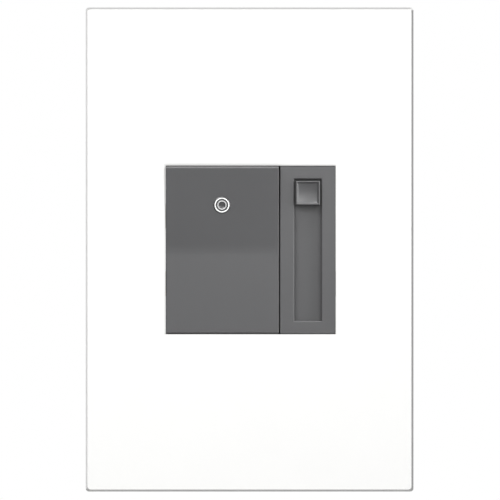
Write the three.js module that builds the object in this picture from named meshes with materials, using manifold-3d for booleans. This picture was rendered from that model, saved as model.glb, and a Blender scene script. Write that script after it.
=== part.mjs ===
// A wall dimmer for one box: a screwless wall plate round a square face that holds a push paddle and a slide control.
// Millimetres. +Z is up, the face looks along -Y, and the origin is on the wall surface at the centre of the box.
import * as THREE from "three";
import { mergeVertices } from "three/addons/utils/BufferGeometryUtils.js";
import Module from "manifold-3d";

const wasm = await Module();
wasm.setup();

// ---------------------------------------------------------------- driving dimensions

const MODULE = 22.5; // width of one module of the face
const FACE = 2 * MODULE; // the face is two modules wide and two high
const GAP = 0.3; // left between pieces that touch
const BOX_SCREW_SPACING = 83.3; // between the two screws of a wall box

// Places along Y, from the front of the wall plate to the back of the housing.
const FRONT = {
  plate: -7.2,
  face: -6.9,
  carrier: -4.8,
  tray: -2.8,
  strap: -1.5,
  wall: 0,
  sink: GAP,
  housing: 2.1,
  board: 8,
};
const BACK = {
  carrier: FRONT.strap - GAP,
  tray: -1.6,
  bezel: -0.1,
  sink: 1.8,
  board: 9.6,
  housing: 31,
};

const plate = { width: 86.8, height: 128.2, wall: 2, corner: 0.8, edge: 0.4, draft: 5.5, window: 45.2, chamfer: 0.6 };
const carrier = { width: 74, height: 114, corner: 3, window: 46.2, driverHole: 5 };
const strap = { width: 64, height: 106, corner: 6, window: 46.4 };
const panel = { left: 7.78, skin: 1, wall: 1.2 };
const slot = { x: 15.15, width: 7.2, height: 37.6 };
const track = { width: 8.3, height: 42, front: -4.95, back: -4.1 };
const knob = { side: 6.3, front: -8.2, restZ: 15.1, travel: 30 };
const paddle = { x: -7.5, width: 29.9, bottom: -22.45, top: 22.4, skin: 1.4, skirt: 1.1, back: -5.2 };
const bend = { proud: 1.9, blend: 2, edge: 0.35 }; // the paddle's top stands out, and its front edge is chamfered
const hinge = { y: -4.15, z: -20, pin: 0.6, bore: 0.68, knuckle: 1.1, earFront: -5.25 };
const lens = { x: -7.6, z: 11.87, radius: 2.05, bore: 2.3 };
const spring = { x: 11, z: 17, radius: 1.6, wire: 0.2, turns: 4.5, front: -6.6, back: -3.3 };
const button = { z: 4, stem: 1.5, hole: 2.3 };
const sink = { width: 44, height: 61 };
const housing = { width: 44.5, height: 62, corner: 3, wall: 1.8, floor: 2, edge: 0.8 };
const boss = { x: 17.4, z: 26.2, radius: 3.2 };
const terminal = { z: 9, front: 14, back: 25, half: 4.6, depth: 4.2, wall: 1.5 };
const ground = { x: -13, z: -35.5 };

// ---------------------------------------------------------------- finishes

function finish(color, roughness, metalness) {
  return new THREE.MeshStandardMaterial({ color, roughness, metalness });
}

const FINISH = {
  whitePlate: finish(0xf4f4f2, 0.3, 0),
  face: finish(0x6c6c6d, 0.45, 0.1),
  lens: finish(0xf0f0ee, 0.3, 0),
  carrier: finish(0x3c3d40, 0.6, 0),
  steel: finish(0xb9bcbf, 0.35, 0.9),
  green: finish(0x2f7d46, 0.4, 0.6),
  fibre: finish(0xc9b48a, 0.9, 0),
  acetal: finish(0x1f2022, 0.5, 0),
  aluminium: finish(0xc4c6c8, 0.4, 0.9),
  housing: finish(0x232426, 0.6, 0),
  board: finish(0x2c5a3a, 0.5, 0),
  phenolic: finish(0x6b4a2a, 0.7, 0),
  copper: finish(0xb66b3c, 0.35, 0.9),
  brass: finish(0xb8964f, 0.35, 0.9),
  ferrite: finish(0x3a3b3c, 0.8, 0.1),
  yellow: finish(0xd9a441, 0.5, 0),
  sleeve: finish(0x22324d, 0.4, 0),
  resistor: finish(0xa9b7a0, 0.6, 0),
  chip: finish(0x1a1b1c, 0.6, 0),
};

// ---------------------------------------------------------------- outlines

function rectangle(width, height, corner = 0, x = 0, z = 0) {
  const shape = new THREE.Shape();
  const [l, r, b, t] = [x - width / 2, x + width / 2, z - height / 2, z + height / 2];
  if (corner === 0) {
    return shape.moveTo(l, b).lineTo(r, b).lineTo(r, t).lineTo(l, t).closePath();
  }
  shape.absarc(r - corner, b + corner, corner, -Math.PI / 2, 0);
  shape.absarc(r - corner, t - corner, corner, 0, Math.PI / 2);
  shape.absarc(l + corner, t - corner, corner, Math.PI / 2, Math.PI);
  shape.absarc(l + corner, b + corner, corner, Math.PI, 1.5 * Math.PI);
  return shape.closePath();
}

function polygon(radius, sides, x = 0, z = 0) {
  const points = [];
  for (let i = 0; i < sides; i++) {
    const angle = (2 * Math.PI * i) / sides;
    points.push(new THREE.Vector2(x + radius * Math.cos(angle), z + radius * Math.sin(angle)));
  }
  return new THREE.Shape(points);
}

// A slot with round ends, as long as length in x and twice the radius in z.
function obround(length, radius, x = 0, z = 0) {
  const reach = length / 2 - radius;
  const shape = new THREE.Shape();
  shape.absarc(x + reach, z, radius, -Math.PI / 2, Math.PI / 2);
  shape.absarc(x - reach, z, radius, Math.PI / 2, 1.5 * Math.PI);
  return shape.closePath();
}

function outline(points) {
  return new THREE.Shape(points.map(([u, v]) => new THREE.Vector2(u, v)));
}

// ---------------------------------------------------------------- shapes

const AXIS = { x: new THREE.Vector3(1, 0, 0), y: new THREE.Vector3(0, 1, 0), z: new THREE.Vector3(0, 0, 1) };
const ARC_STEPS = 4;
const ROUND_SIDES = 18;

// An outline in x and z, made solid from y = front to y = back. At both ends it narrows by edge over the length taper.
function slab(shape, front, back, edge = 0, taper = edge) {
  const made = new THREE.ExtrudeGeometry(shape, {
    depth: back - front - 2 * taper,
    curveSegments: ARC_STEPS,
    bevelEnabled: edge > 0,
    bevelThickness: taper,
    bevelSize: edge,
    bevelOffset: -edge,
    bevelSegments: 1,
  });
  const turn = new THREE.Matrix4().makeBasis(AXIS.x, AXIS.z, AXIS.y.clone().negate());
  return made.applyMatrix4(turn).translate(0, back - taper, 0);
}

// An outline in y and z, made solid from x = left to x = right.
function sideways(shape, left, right) {
  const made = new THREE.ExtrudeGeometry(shape, { depth: right - left, bevelEnabled: false });
  return made.applyMatrix4(new THREE.Matrix4().makeBasis(AXIS.y, AXIS.z, AXIS.x)).translate(left, 0, 0);
}

// An outline in x and y, made solid from z = low to z = high.
function upright(shape, low, high) {
  return new THREE.ExtrudeGeometry(shape, { depth: high - low, bevelEnabled: false }).translate(0, 0, low);
}

function block([left, right], [front, back], [low, high]) {
  const made = new THREE.BoxGeometry(right - left, back - front, high - low);
  return made.translate((left + right) / 2, (front + back) / 2, (low + high) / 2);
}

function around(centre, half) {
  return [centre - half, centre + half];
}

// A round bar along Y.
function rod(radius, front, back, x = 0, z = 0, sides = ROUND_SIDES) {
  const made = new THREE.CylinderGeometry(radius, radius, back - front, sides);
  return made.translate(x, (front + back) / 2, z);
}

// A round bar along X.
function crossRod(radius, left, right, y = 0, z = 0, sides = ROUND_SIDES) {
  const made = new THREE.CylinderGeometry(radius, radius, right - left, sides).rotateZ(-Math.PI / 2);
  return made.translate((left + right) / 2, y, z);
}

// A turned shape about Y, from [radius, y] points that start and end on the axis.
function turned(points, sides = ROUND_SIDES) {
  return new THREE.LatheGeometry(points.map(([r, y]) => new THREE.Vector2(r, y)), sides);
}

function wireAlong(curve, radius, sides, steps) {
  return new THREE.ExtrudeGeometry(polygon(radius, sides), { extrudePath: curve, steps, bevelEnabled: false });
}

// ---------------------------------------------------------------- joining and cutting

function solid(geometry) {
  const bare = geometry.clone();
  bare.deleteAttribute("normal");
  bare.deleteAttribute("uv");
  const merged = mergeVertices(bare, 1e-4);
  return new wasm.Manifold(
    new wasm.Mesh({
      numProp: 3,
      vertProperties: new Float32Array(merged.attributes.position.array),
      triVerts: new Uint32Array(merged.index.array),
    }),
  );
}

function geometryOf(body) {
  const mesh = body.getMesh();
  const positions = [];
  for (const corner of mesh.triVerts) {
    positions.push(...mesh.vertProperties.subarray(corner * mesh.numProp, corner * mesh.numProp + 3));
  }
  const made = new THREE.BufferGeometry();
  made.setAttribute("position", new THREE.Float32BufferAttribute(positions, 3));
  made.computeVertexNormals();
  return made;
}

// The first geometry with the added ones joined on and the cut ones taken out.
function carve(base, { add = [], cut = [] }) {
  let body = solid(base);
  for (const g of add) {
    body = body.add(solid(g));
  }
  for (const g of cut) {
    body = body.subtract(solid(g));
  }
  return geometryOf(body);
}

// ---------------------------------------------------------------- curves

class Helix extends THREE.Curve {
  constructor(radius, turns, front, back) {
    super();
    Object.assign(this, { radius, turns, front, back });
  }
  getPoint(t, target = new THREE.Vector3()) {
    const angle = 2 * Math.PI * this.turns * t;
    const along = this.front + (this.back - this.front) * t;
    return target.set(this.radius * Math.cos(angle), along, this.radius * Math.sin(angle));
  }
}

// Wire wound round the section of a ring whose axis is Y.
class RingWinding extends THREE.Curve {
  constructor(mean, across, along, turns, sweep) {
    super();
    Object.assign(this, { mean, across, along, turns, sweep });
  }
  getPoint(t, target = new THREE.Vector3()) {
    const round = this.sweep * (t - 0.5);
    const wound = 2 * Math.PI * this.turns * t;
    const radius = this.mean + this.across * Math.cos(wound);
    return target.set(radius * Math.cos(round), this.along * Math.sin(wound), radius * Math.sin(round));
  }
}

// ---------------------------------------------------------------- scene graph helpers

const dimmer = new THREE.Group();

function group(x, y, z, parent = dimmer) {
  const made = new THREE.Group();
  made.position.set(x, y, z);
  parent.add(made);
  return made;
}

function piece(name, material, geometry, parent = dimmer, position = [0, 0, 0]) {
  const mesh = new THREE.Mesh(geometry, material);
  mesh.name = name;
  mesh.position.set(...position);
  parent.add(mesh);
  return mesh;
}

// ---------------------------------------------------------------- wall plate, carrier and strap

const clip = { inner: 37.5, thick: 1.5, hook: 36.6, catchFront: -1.55, tip: -0.9, z: 38, half: 5 };

function plateClip(side, z) {
  const root = FRONT.plate + plate.wall - 0.1;
  const section = outline(
    [
      [clip.inner, root],
      [clip.inner + clip.thick, root],
      [clip.inner + clip.thick, clip.tip],
      [clip.inner, clip.tip],
      [clip.hook, clip.catchFront],
      [clip.inner, clip.catchFront],
    ].map(([x, y]) => [side * x, y]),
  );
  return upright(section, z - clip.half, z + clip.half);
}

// A square tool that leaves a 45 degree chamfer where it meets the front of the plate.
function windowChamfer() {
  const half = plate.window / 2;
  const reach = 2 * plate.chamfer;
  const made = new THREE.CylinderGeometry(half * Math.SQRT2, (half + reach) * Math.SQRT2, reach, 4, 1);
  return made.rotateY(Math.PI / 4).translate(0, FRONT.plate, 0);
}

function wallPlate() {
  const size = rectangle(plate.width, plate.height, plate.corner);
  const outer = slab(size, FRONT.plate, FRONT.wall + plate.draft + 1, plate.edge, plate.draft);
  const inner = rectangle(plate.width - 2 * plate.wall, plate.height - 2 * plate.wall, 1);
  const half = plate.window / 2;
  const clips = [];
  for (const side of [-1, 1]) {
    clips.push(plateClip(side, clip.z), plateClip(side, -clip.z));
  }
  const shell = carve(outer, {
    cut: [
      slab(inner, FRONT.plate + plate.wall, FRONT.wall + 8),
      block(around(0, plate.width), [FRONT.wall, FRONT.wall + 8], around(0, plate.height)),
      block([-half, half], [FRONT.plate - 1, FRONT.wall], [-half, half]),
      windowChamfer(),
    ],
  });
  return carve(shell, { add: clips });
}

const locatingPin = { x: 27, z: 49, radius: 1.4, hole: 1.8, back: -0.1 };
const pocket = { width: 12, height: 16, x: 26, z: 34, depth: 1.4 };

function fourCorners(x, z) {
  return [
    [x, z],
    [-x, z],
    [-x, -z],
    [x, -z],
  ];
}

function carrierFrame() {
  const shape = rectangle(carrier.width, carrier.height, carrier.corner);
  shape.holes.push(rectangle(carrier.window, carrier.window));
  for (const z of around(0, BOX_SCREW_SPACING / 2)) {
    shape.holes.push(polygon(carrier.driverHole, ROUND_SIDES, 0, z));
  }
  shape.holes.push(polygon(3.2, 12, ground.x, ground.z));
  const pins = fourCorners(locatingPin.x, locatingPin.z).map(([x, z]) =>
    rod(locatingPin.radius, BACK.carrier - 1, locatingPin.back, x, z, 12),
  );
  const pockets = fourCorners(pocket.x, pocket.z).map(([x, z]) =>
    block(
      around(x, pocket.width / 2),
      [FRONT.carrier - 1, FRONT.carrier + pocket.depth],
      around(z, pocket.height / 2),
    ),
  );
  return carve(slab(shape, FRONT.carrier, BACK.carrier), { add: pins, cut: pockets });
}

const earNotch = { x: 22, radius: 4 };
const earPad = { x: 11, z: 49.5, width: 10, height: 5, proud: 0.1 };
const slotHole = { length: 7.5, radius: 2.1 };

function mountingStrap() {
  const shape = rectangle(strap.width, strap.height, strap.corner);
  shape.holes.push(rectangle(strap.window, strap.window));
  for (const z of around(0, BOX_SCREW_SPACING / 2)) {
    shape.holes.push(obround(slotHole.length, slotHole.radius, 0, z));
  }
  for (const [x, z] of fourCorners(locatingPin.x, locatingPin.z)) {
    shape.holes.push(polygon(locatingPin.hole, 12, x, z));
  }
  for (const [x, z] of fourCorners(boss.x, boss.z)) {
    shape.holes.push(polygon(1.6, 12, x, z));
  }
  shape.holes.push(polygon(2, 12, ground.x, ground.z));
  const notches = fourCorners(earNotch.x, strap.height / 2).map(([x, z]) =>
    rod(earNotch.radius, FRONT.strap - 1, FRONT.wall + 1, x, z, 16),
  );
  const pads = fourCorners(earPad.x, earPad.z).map(([x, z]) =>
    block(
      around(x, earPad.width / 2),
      [FRONT.strap + 0.5, FRONT.wall],
      around(z, earPad.height / 2),
    ),
  );
  return carve(slab(shape, FRONT.strap, FRONT.wall - earPad.proud), { add: pads, cut: notches });
}

const boxScrew = { head: 3.4, headHeight: 2, shank: 1.6, length: 25, slotWidth: 0.8, slotDepth: 0.9 };

function boxScrewShape() {
  const top = -boxScrew.headHeight;
  const body = turned([
    [0, top],
    [boxScrew.head * 0.6, top + 0.25],
    [boxScrew.head, top + 1.1],
    [boxScrew.head * 0.8, 0],
    [boxScrew.shank, 0],
    [boxScrew.shank, boxScrew.length - 1],
    [boxScrew.shank * 0.5, boxScrew.length],
    [0, boxScrew.length],
  ]);
  const driver = block(
    around(0, boxScrew.head + 1),
    [top - 1, top + boxScrew.slotDepth],
    around(0, boxScrew.slotWidth / 2),
  );
  return carve(body, { cut: [driver] });
}

function screwRetainer() {
  const shape = rectangle(9, 9, 1);
  shape.holes.push(polygon(1.95, 14));
  return slab(shape, GAP, GAP + 0.8);
}

function groundScrew() {
  const shank = rod(1.7, -2.5, 1, 0, 0, 14);
  const washer = rod(3.8, GAP, 1.2);
  const hex = rod(3.4, 1.1, 3.6, 0, 0, 6);
  const driver = block(around(0, 4), [2.8, 4.6], around(0, 0.45));
  return carve(shank, { add: [washer, hex], cut: [driver] });
}

function addMounting() {
  piece("wall_plate", FINISH.whitePlate, wallPlate());
  piece("carrier_frame", FINISH.carrier, carrierFrame());
  piece("mounting_strap", FINISH.steel, mountingStrap());
  for (const [end, z] of [["top", BOX_SCREW_SPACING / 2], ["bottom", -BOX_SCREW_SPACING / 2]]) {
    const place = group(0, 0, z);
    piece(`box_screw_${end}`, FINISH.steel, boxScrewShape(), place, [0, FRONT.strap - GAP, 0]);
    piece(`screw_retainer_${end}`, FINISH.fibre, screwRetainer(), place);
  }
  piece("ground_screw", FINISH.green, groundScrew(), dimmer, [ground.x, 0, ground.z]);
}

// ---------------------------------------------------------------- bezel and track floor

const hingeEar = { thick: 1.4, inset: 12.4, half: 1 };
const springSeat = { outer: 2.8, inner: 2.1, height: 0.8 };
const bezelScrewAt = [
  [-17, -12],
  [2.5, 14],
];

function hingeEarAt(x) {
  return block(around(x, hingeEar.thick / 2), [hinge.earFront, FRONT.tray + 0.2], around(hinge.z, hingeEar.half));
}

function frontBezel() {
  const half = FACE / 2;
  const inner = half - panel.wall;
  const tray = block([-half, half], [FRONT.tray - 0.4, BACK.bezel], [-half, half]);
  const front = block([panel.left, half], [FRONT.face, BACK.bezel], [-half, half]);
  const trayBack = block([-inner, panel.left - panel.wall], [BACK.tray, FRONT.wall], [-inner, inner]);
  const trayFront = block(
    [-inner, panel.left - 0.01],
    [FRONT.tray - 2, FRONT.tray],
    [-inner, inner],
  );
  const hollow = block(
    [panel.left + panel.wall, inner],
    [FRONT.face + panel.skin, FRONT.wall],
    [-inner, inner],
  );
  const opening = block(
    around(slot.x, slot.width / 2),
    [FRONT.face - 1, FRONT.face + 2],
    around(0, slot.height / 2),
  );
  const shell = carve(tray, { add: [front], cut: [trayBack, trayFront, hollow, opening] });
  const ledges = [-1, 1].map((end) =>
    block(
      around(slot.x, 3.2),
      [FRONT.face + panel.skin - 0.1, track.front - GAP],
      end > 0 ? [19.4, inner + 0.1] : [-inner - 0.1, -19.4],
    ),
  );
  const shelves = [-1, 1].map((end) =>
    block(
      around(slot.x, 3.2),
      [track.back + GAP, -2],
      end > 0 ? [19.9, inner + 0.1] : [-inner - 0.1, -19.9],
    ),
  );
  const ears = [-1, 1].map((side) => hingeEarAt(paddle.x + side * hingeEar.inset));
  const seats = [-1, 1].map((side) =>
    rod(springSeat.outer, FRONT.tray - springSeat.height, FRONT.tray + 0.2, paddle.x + side * spring.x, spring.z),
  );
  const seatHollows = [-1, 1].map((side) =>
    rod(springSeat.inner, FRONT.tray - 2, FRONT.tray, paddle.x + side * spring.x, spring.z),
  );
  const screwBosses = bezelScrewAt.map(([x, z]) => rod(2.2, BACK.tray - 0.2, BACK.bezel, x, z, 14));
  const screwHoles = bezelScrewAt.map(([x, z]) => rod(1.1, -2.2, FRONT.wall, x, z, 12));
  return carve(shell, {
    add: [...ledges, ...shelves, ...ears, ...seats, ...screwBosses],
    cut: [
      ...seatHollows,
      ...screwHoles,
      crossRod(hinge.bore, paddle.x - 14, paddle.x + 14, hinge.y, hinge.z, 20),
      rod(button.hole, FRONT.tray - 1, FRONT.wall, paddle.x, button.z),
      rod(lens.bore, FRONT.tray - 1, FRONT.wall, lens.x, lens.z),
    ],
  });
}

function bezelScrew() {
  const head = rod(1.9, BACK.sink + GAP, BACK.sink + GAP + 1.2, 0, 0, 14);
  return carve(head, { add: [rod(0.9, -1.9, BACK.sink + GAP + 0.2, 0, 0, 12)] });
}

function addBezel() {
  piece("front_bezel", FINISH.face, frontBezel());
  const floor = block(around(0, track.width / 2), [track.front, track.back], around(0, track.height / 2));
  piece("track_floor", FINISH.face, floor, dimmer, [slot.x, 0, 0]);
  bezelScrewAt.forEach(([x, z], i) => {
    piece(`bezel_screw_${i + 1}`, FINISH.steel, bezelScrew(), dimmer, [x, 0, z]);
  });
}

// ---------------------------------------------------------------- paddle

const BLEND_STEPS = 8;
const PADDLE_SLOPE = bend.proud / (paddle.top - bend.blend);

// The front of the paddle at height z: flat below, leaning out above, with a parabola where the two meet.
function paddleFront(z) {
  if (z < -bend.blend) {
    return FRONT.face;
  }
  if (z < bend.blend) {
    return FRONT.face - (PADDLE_SLOPE * (z + bend.blend) ** 2) / (4 * bend.blend);
  }
  return FRONT.face - PADDLE_SLOPE * z;
}

// The paddle's section from z = low to z = high, its front set back by inset and its front corners cut by edge.
function paddleSection(low, high, inset, back, edge = 0) {
  const points = [
    [back, low],
    [paddleFront(low) + inset + edge, low],
  ];
  if (edge > 0) {
    points.push([paddleFront(low) + inset, low + edge]);
  }
  for (let i = 0; i <= BLEND_STEPS; i++) {
    const z = bend.blend * ((2 * i) / BLEND_STEPS - 1);
    points.push([paddleFront(z) + inset, z]);
  }
  if (edge > 0) {
    points.push([paddleFront(high - edge) + inset, high - edge]);
  }
  points.push([paddleFront(high) + inset + edge, high], [back, high]);
  return outline(points);
}

function paddleBody() {
  const half = paddle.width / 2;
  const outer = sideways(paddleSection(paddle.bottom, paddle.top, 0, paddle.back, bend.edge), -half, half);
  const hollow = sideways(
    paddleSection(paddle.bottom + paddle.skirt, paddle.top - paddle.skirt, paddle.skin, paddle.back + 1),
    paddle.skirt - half,
    half - paddle.skirt,
  );
  const knuckles = [-1, 1].flatMap((side) => {
    const [left, right] = around(side * 9.4, 1.6);
    return [
      crossRod(hinge.knuckle, left, right, hinge.y, hinge.z, 16),
      block([left, right], [FRONT.face + 0.5, hinge.y], around(hinge.z, hinge.knuckle)),
    ];
  });
  const pusher = rod(button.stem + 0.3, paddleFront(button.z) + 0.6, -4.4, 0, button.z, 14);
  const ringHole = rod(lens.bore, -3, 3);
  ringHole.rotateX(Math.atan(PADDLE_SLOPE)).translate(lens.x - paddle.x, paddleFront(lens.z), lens.z);
  return carve(carve(outer, { cut: [hollow] }), {
    add: [...knuckles, pusher],
    cut: [ringHole, crossRod(hinge.bore, -half + 2, half - 2, hinge.y, hinge.z, 20)],
  });
}

// The light guide of the press mark: a disc flush with the paddle, a flange behind the skin and a rod to the lamp.
function locatorLens() {
  const behind = paddle.skin + GAP;
  return turned([
    [0, 0],
    [lens.radius, 0],
    [lens.radius, behind],
    [lens.radius + 0.9, behind],
    [lens.radius + 0.9, behind + 0.7],
    [1.2, behind + 0.7],
    [1.2, 4.2],
    [0, 4.2],
  ], 28);
}

function coil(shape) {
  const path = new Helix(shape.radius, shape.turns, shape.front, shape.back);
  return wireAlong(path, shape.wire, 5, Math.round(shape.turns * 9));
}

function addPaddle() {
  const place = group(paddle.x, 0, 0);
  piece("paddle", FINISH.face, paddleBody(), place);
  const guide = piece("locator_lens", FINISH.lens, locatorLens(), place, [
    lens.x - paddle.x,
    paddleFront(lens.z),
    lens.z,
  ]);
  guide.rotation.x = Math.atan(PADDLE_SLOPE);
  piece("paddle_hinge_pin", FINISH.steel, crossRod(hinge.pin, -13.3, 13.3, 0, 0, 12), place, [0, hinge.y, hinge.z]);
  for (const [end, side] of [["left", -1], ["right", 1]]) {
    piece(`paddle_spring_${end}`, FINISH.steel, coil(spring), place, [side * spring.x, 0, spring.z]);
  }
}

// ---------------------------------------------------------------- push switch and lamp behind the paddle

const pushSwitch = { side: 8, back: 7.7, mouth: 1.8, bore: 2.2, boreFront: 2.4, boreBack: 6.6 };
const plungerSpring = { radius: 1.3, wire: 0.15, turns: 3, front: 4.5, back: 6.2 };

function addPushSwitch() {
  const place = group(paddle.x, 0, button.z);
  const half = pushSwitch.side / 2;
  const body = carve(block([-half, half], [FRONT.housing, pushSwitch.back], [-half, half]), {
    cut: [
      rod(pushSwitch.mouth, FRONT.housing - 1, pushSwitch.boreBack),
      rod(pushSwitch.bore, pushSwitch.boreFront, pushSwitch.boreBack),
    ],
  });
  piece("switch_body", FINISH.acetal, body, place);
  const plunger = carve(rod(button.stem, -4.1, 3, 0, 0, 16), { add: [rod(1.9, 2.7, 3.9, 0, 0, 16)] });
  piece("switch_plunger", FINISH.lens, plunger, place);
  piece("switch_spring", FINISH.steel, coil(plungerSpring), place);
}

function locatorLed() {
  return turned([
    [0, -0.6],
    [0.75, -0.4],
    [1.3, 0.15],
    [1.5, 0.9],
    [1.5, 4.6],
    [1.9, 4.6],
    [1.9, 7.7],
    [0, 7.7],
  ], 16);
}

// ---------------------------------------------------------------- slide control

const leg = { inner: 4.5, outer: 5.2, back: -2.3 };
const carriage = { width: 11.4, height: 9, front: -2.95, back: -1.4 };
const lever = { halfX: 0.6, halfZ: 2, front: -2.4 };
const pot = { width: 9, height: 44, back: 7.7, wall: 0.5 };

function sliderKnob() {
  const half = knob.side / 2;
  const flangeFront = FRONT.face + panel.skin + 0.2;
  const flangeBack = track.front - 0.3;
  const cap = block([-half, half], [knob.front, flangeFront + 0.1], [-half, half]);
  const flange = block([-leg.outer, leg.outer], [flangeFront, flangeBack], [-half, half]);
  const legs = [-1, 1].map((side) => {
    const span = side > 0 ? [leg.inner, leg.outer] : [-leg.outer, -leg.inner];
    return block(span, [flangeBack - 0.1, leg.back], [-half, half]);
  });
  return carve(cap, { add: [flange, ...legs] });
}

function sliderCarriage() {
  const legPockets = [-1, 1].map((side) =>
    block(
      around(side * ((leg.inner + leg.outer) / 2), (leg.outer - leg.inner) / 2 + 0.2),
      [carriage.front - 1, leg.back + 0.3],
      around(0, knob.side / 2 + 0.3),
    ),
  );
  const body = block(
    around(0, carriage.width / 2),
    [carriage.front, carriage.back],
    around(0, carriage.height / 2),
  );
  const socket = block(
    around(0, lever.halfX + 0.3),
    [lever.front - 0.2, carriage.back + 1],
    around(0, lever.halfZ + 0.3),
  );
  return carve(body, { cut: [...legPockets, socket] });
}

function potLever() {
  const blade = block(around(0, lever.halfX), [lever.front, 3.4], around(0, lever.halfZ));
  return carve(blade, { add: [block(around(0, 3.4), [3.2, 5.6], around(0, 3))] });
}

// A bent leaf with two sprung tips that press on the resistive track.
function potWiper() {
  const section = outline([
    [5.9, -2.4],
    [6.5, -3.4],
    [6.6, -3.3],
    [6.1, -2.2],
    [6.1, 2.2],
    [6.6, 3.3],
    [6.5, 3.4],
    [5.9, 2.4],
  ]);
  return sideways(section, -2.4, 2.4);
}

function potCase() {
  const half = pot.width / 2;
  const tall = pot.height / 2;
  return carve(block([-half, half], [FRONT.housing, pot.back], [-tall, tall]), {
    cut: [
      block(
        around(0, half - pot.wall),
        [FRONT.housing + pot.wall, pot.back + 1],
        around(0, tall - pot.wall),
      ),
      block(around(0, 1), [FRONT.housing - 1, FRONT.housing + 2], around(0, 17.6)),
    ],
  });
}

function addSlider() {
  const moving = group(slot.x, 0, knob.restZ);
  piece("slider_knob", FINISH.face, sliderKnob(), moving);
  piece("slider_carriage", FINISH.acetal, sliderCarriage(), moving);
  piece("pot_lever", FINISH.acetal, potLever(), moving);
  piece("pot_wiper", FINISH.copper, potWiper(), moving);
  const fixed = group(slot.x, 0, 0);
  piece("pot_case", FINISH.steel, potCase(), fixed);
  piece("pot_track_board", FINISH.phenolic, block(around(0, 3.7), [6.9, pot.back], around(0, 21.2)), fixed);
}

// ---------------------------------------------------------------- heat sink, board and parts on it

function heatSinkPlate() {
  const shape = rectangle(sink.width, sink.height, 1.5);
  shape.holes.push(rectangle(3.2, 36, 0, slot.x, 0));
  shape.holes.push(polygon(button.hole, ROUND_SIDES, paddle.x, button.z));
  shape.holes.push(polygon(lens.bore, ROUND_SIDES, lens.x, lens.z));
  shape.holes.push(polygon(1.7, 12, triac.x, triac.holeZ));
  for (const [x, z] of bezelScrewAt) {
    shape.holes.push(polygon(1.2, 12, x, z));
  }
  for (const [x, z] of fourCorners(boss.x, boss.z)) {
    shape.holes.push(polygon(1.7, 12, x, z));
  }
  return slab(shape, FRONT.sink, BACK.sink);
}

function circuitBoard() {
  const board = slab(rectangle(40.2, 57.6), FRONT.board, BACK.board);
  const corners = fourCorners(boss.x, boss.z).map(([x, z]) =>
    rod(boss.radius + 0.5, FRONT.board - 1, BACK.board + 1, x, z, 16),
  );
  const outside = fourCorners(21, 29.6).map(([x, z]) =>
    block(around(x, 3.6), [FRONT.board - 1, BACK.board + 1], around(z, 3.4)),
  );
  return carve(board, { cut: [...corners, ...outside] });
}

const triac = { x: -8.5, half: 5, bodyTop: -13, bodyBottom: -22, tabBottom: -28.4, holeZ: -25.2, back: 6.5 };

function triacBody() {
  const body = block(around(0, triac.half), [FRONT.housing, triac.back], [triac.bodyBottom, triac.bodyTop]);
  const tab = block(
    around(0, triac.half),
    [FRONT.housing, FRONT.housing + 1.3],
    [triac.tabBottom, triac.bodyBottom + 0.1],
  );
  const legs = [-1, 0, 1].flatMap((i) => [
    block(around(i * 2.54, 0.4), [4, 4.5], [triac.bodyTop - 0.1, triac.bodyTop + 3]),
    block(around(i * 2.54, 0.4), [4, FRONT.board - GAP], [triac.bodyTop + 2.5, triac.bodyTop + 3]),
  ]);
  return carve(body, { add: [tab, ...legs], cut: [rod(1.9, 1, 5, 0, triac.holeZ, 14)] });
}

function triacScrew() {
  const under = FRONT.housing + 1.3 + GAP;
  const head = rod(2.8, under, under + 1.8, 0, 0, 16);
  const slotCut = block(around(0, 3.5), [under + 1, under + 3], around(0, 0.4));
  return carve(head, { add: [rod(1.4, 0.5, under + 0.2, 0, 0, 12)], cut: [slotCut] });
}

const choke = { x: -3, y: 15.9, z: 15, mean: 7.5, across: 2.6, along: 3.8 };
const winding = { lift: 1.05, wire: 0.5, turns: 14, sweep: 5.3 };

function chokeCore() {
  const sides = 10;
  const section = [];
  for (let i = 0; i <= sides; i++) {
    const angle = (2 * Math.PI * (i % sides)) / sides;
    section.push([choke.mean + choke.across * Math.cos(angle), choke.along * Math.sin(angle)]);
  }
  return turned(section, 24);
}

function chokeWinding() {
  const path = new RingWinding(
    choke.mean,
    choke.across + winding.lift,
    choke.along + winding.lift,
    winding.turns,
    winding.sweep,
  );
  return wireAlong(path, winding.wire, 5, winding.turns * 8);
}

const onBoard = BACK.board + GAP;

function filmCapacitor() {
  return slab(rectangle(9, 17.5, 0.8), 0, 11.2, 0.6);
}

function smoothingCapacitor() {
  return turned([
    [0, 0],
    [4.6, 0],
    [5, 0.4],
    [5, 1.4],
    [4.7, 1.7],
    [5, 2],
    [5, 11.6],
    [4.6, 12],
    [0, 12],
  ], 24);
}

// A body along X on two bent leads, such as a resistor or a fuse.
function axialPart(radius, length, lift) {
  const half = length / 2;
  const body = crossRod(radius, -half, half, lift, 0, 14);
  const caps = [-1, 1].map((side) =>
    crossRod(radius * 1.12, side * half - (side > 0 ? 1.6 : 0), side * half + (side > 0 ? 0 : 1.6), lift, 0, 14),
  );
  const reach = half + 1.4;
  const leads = [-1, 1].flatMap((side) => {
    const [inner, outer] = side > 0 ? [half - 0.5, reach] : [-reach, 0.5 - half];
    return [
      block([inner, outer], around(lift, 0.3), around(0, 0.3)),
      block(around(side * (reach - 0.3), 0.3), [0, lift + 0.3], around(0, 0.3)),
    ];
  });
  return carve(body, { add: [...caps, ...leads] });
}

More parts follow.
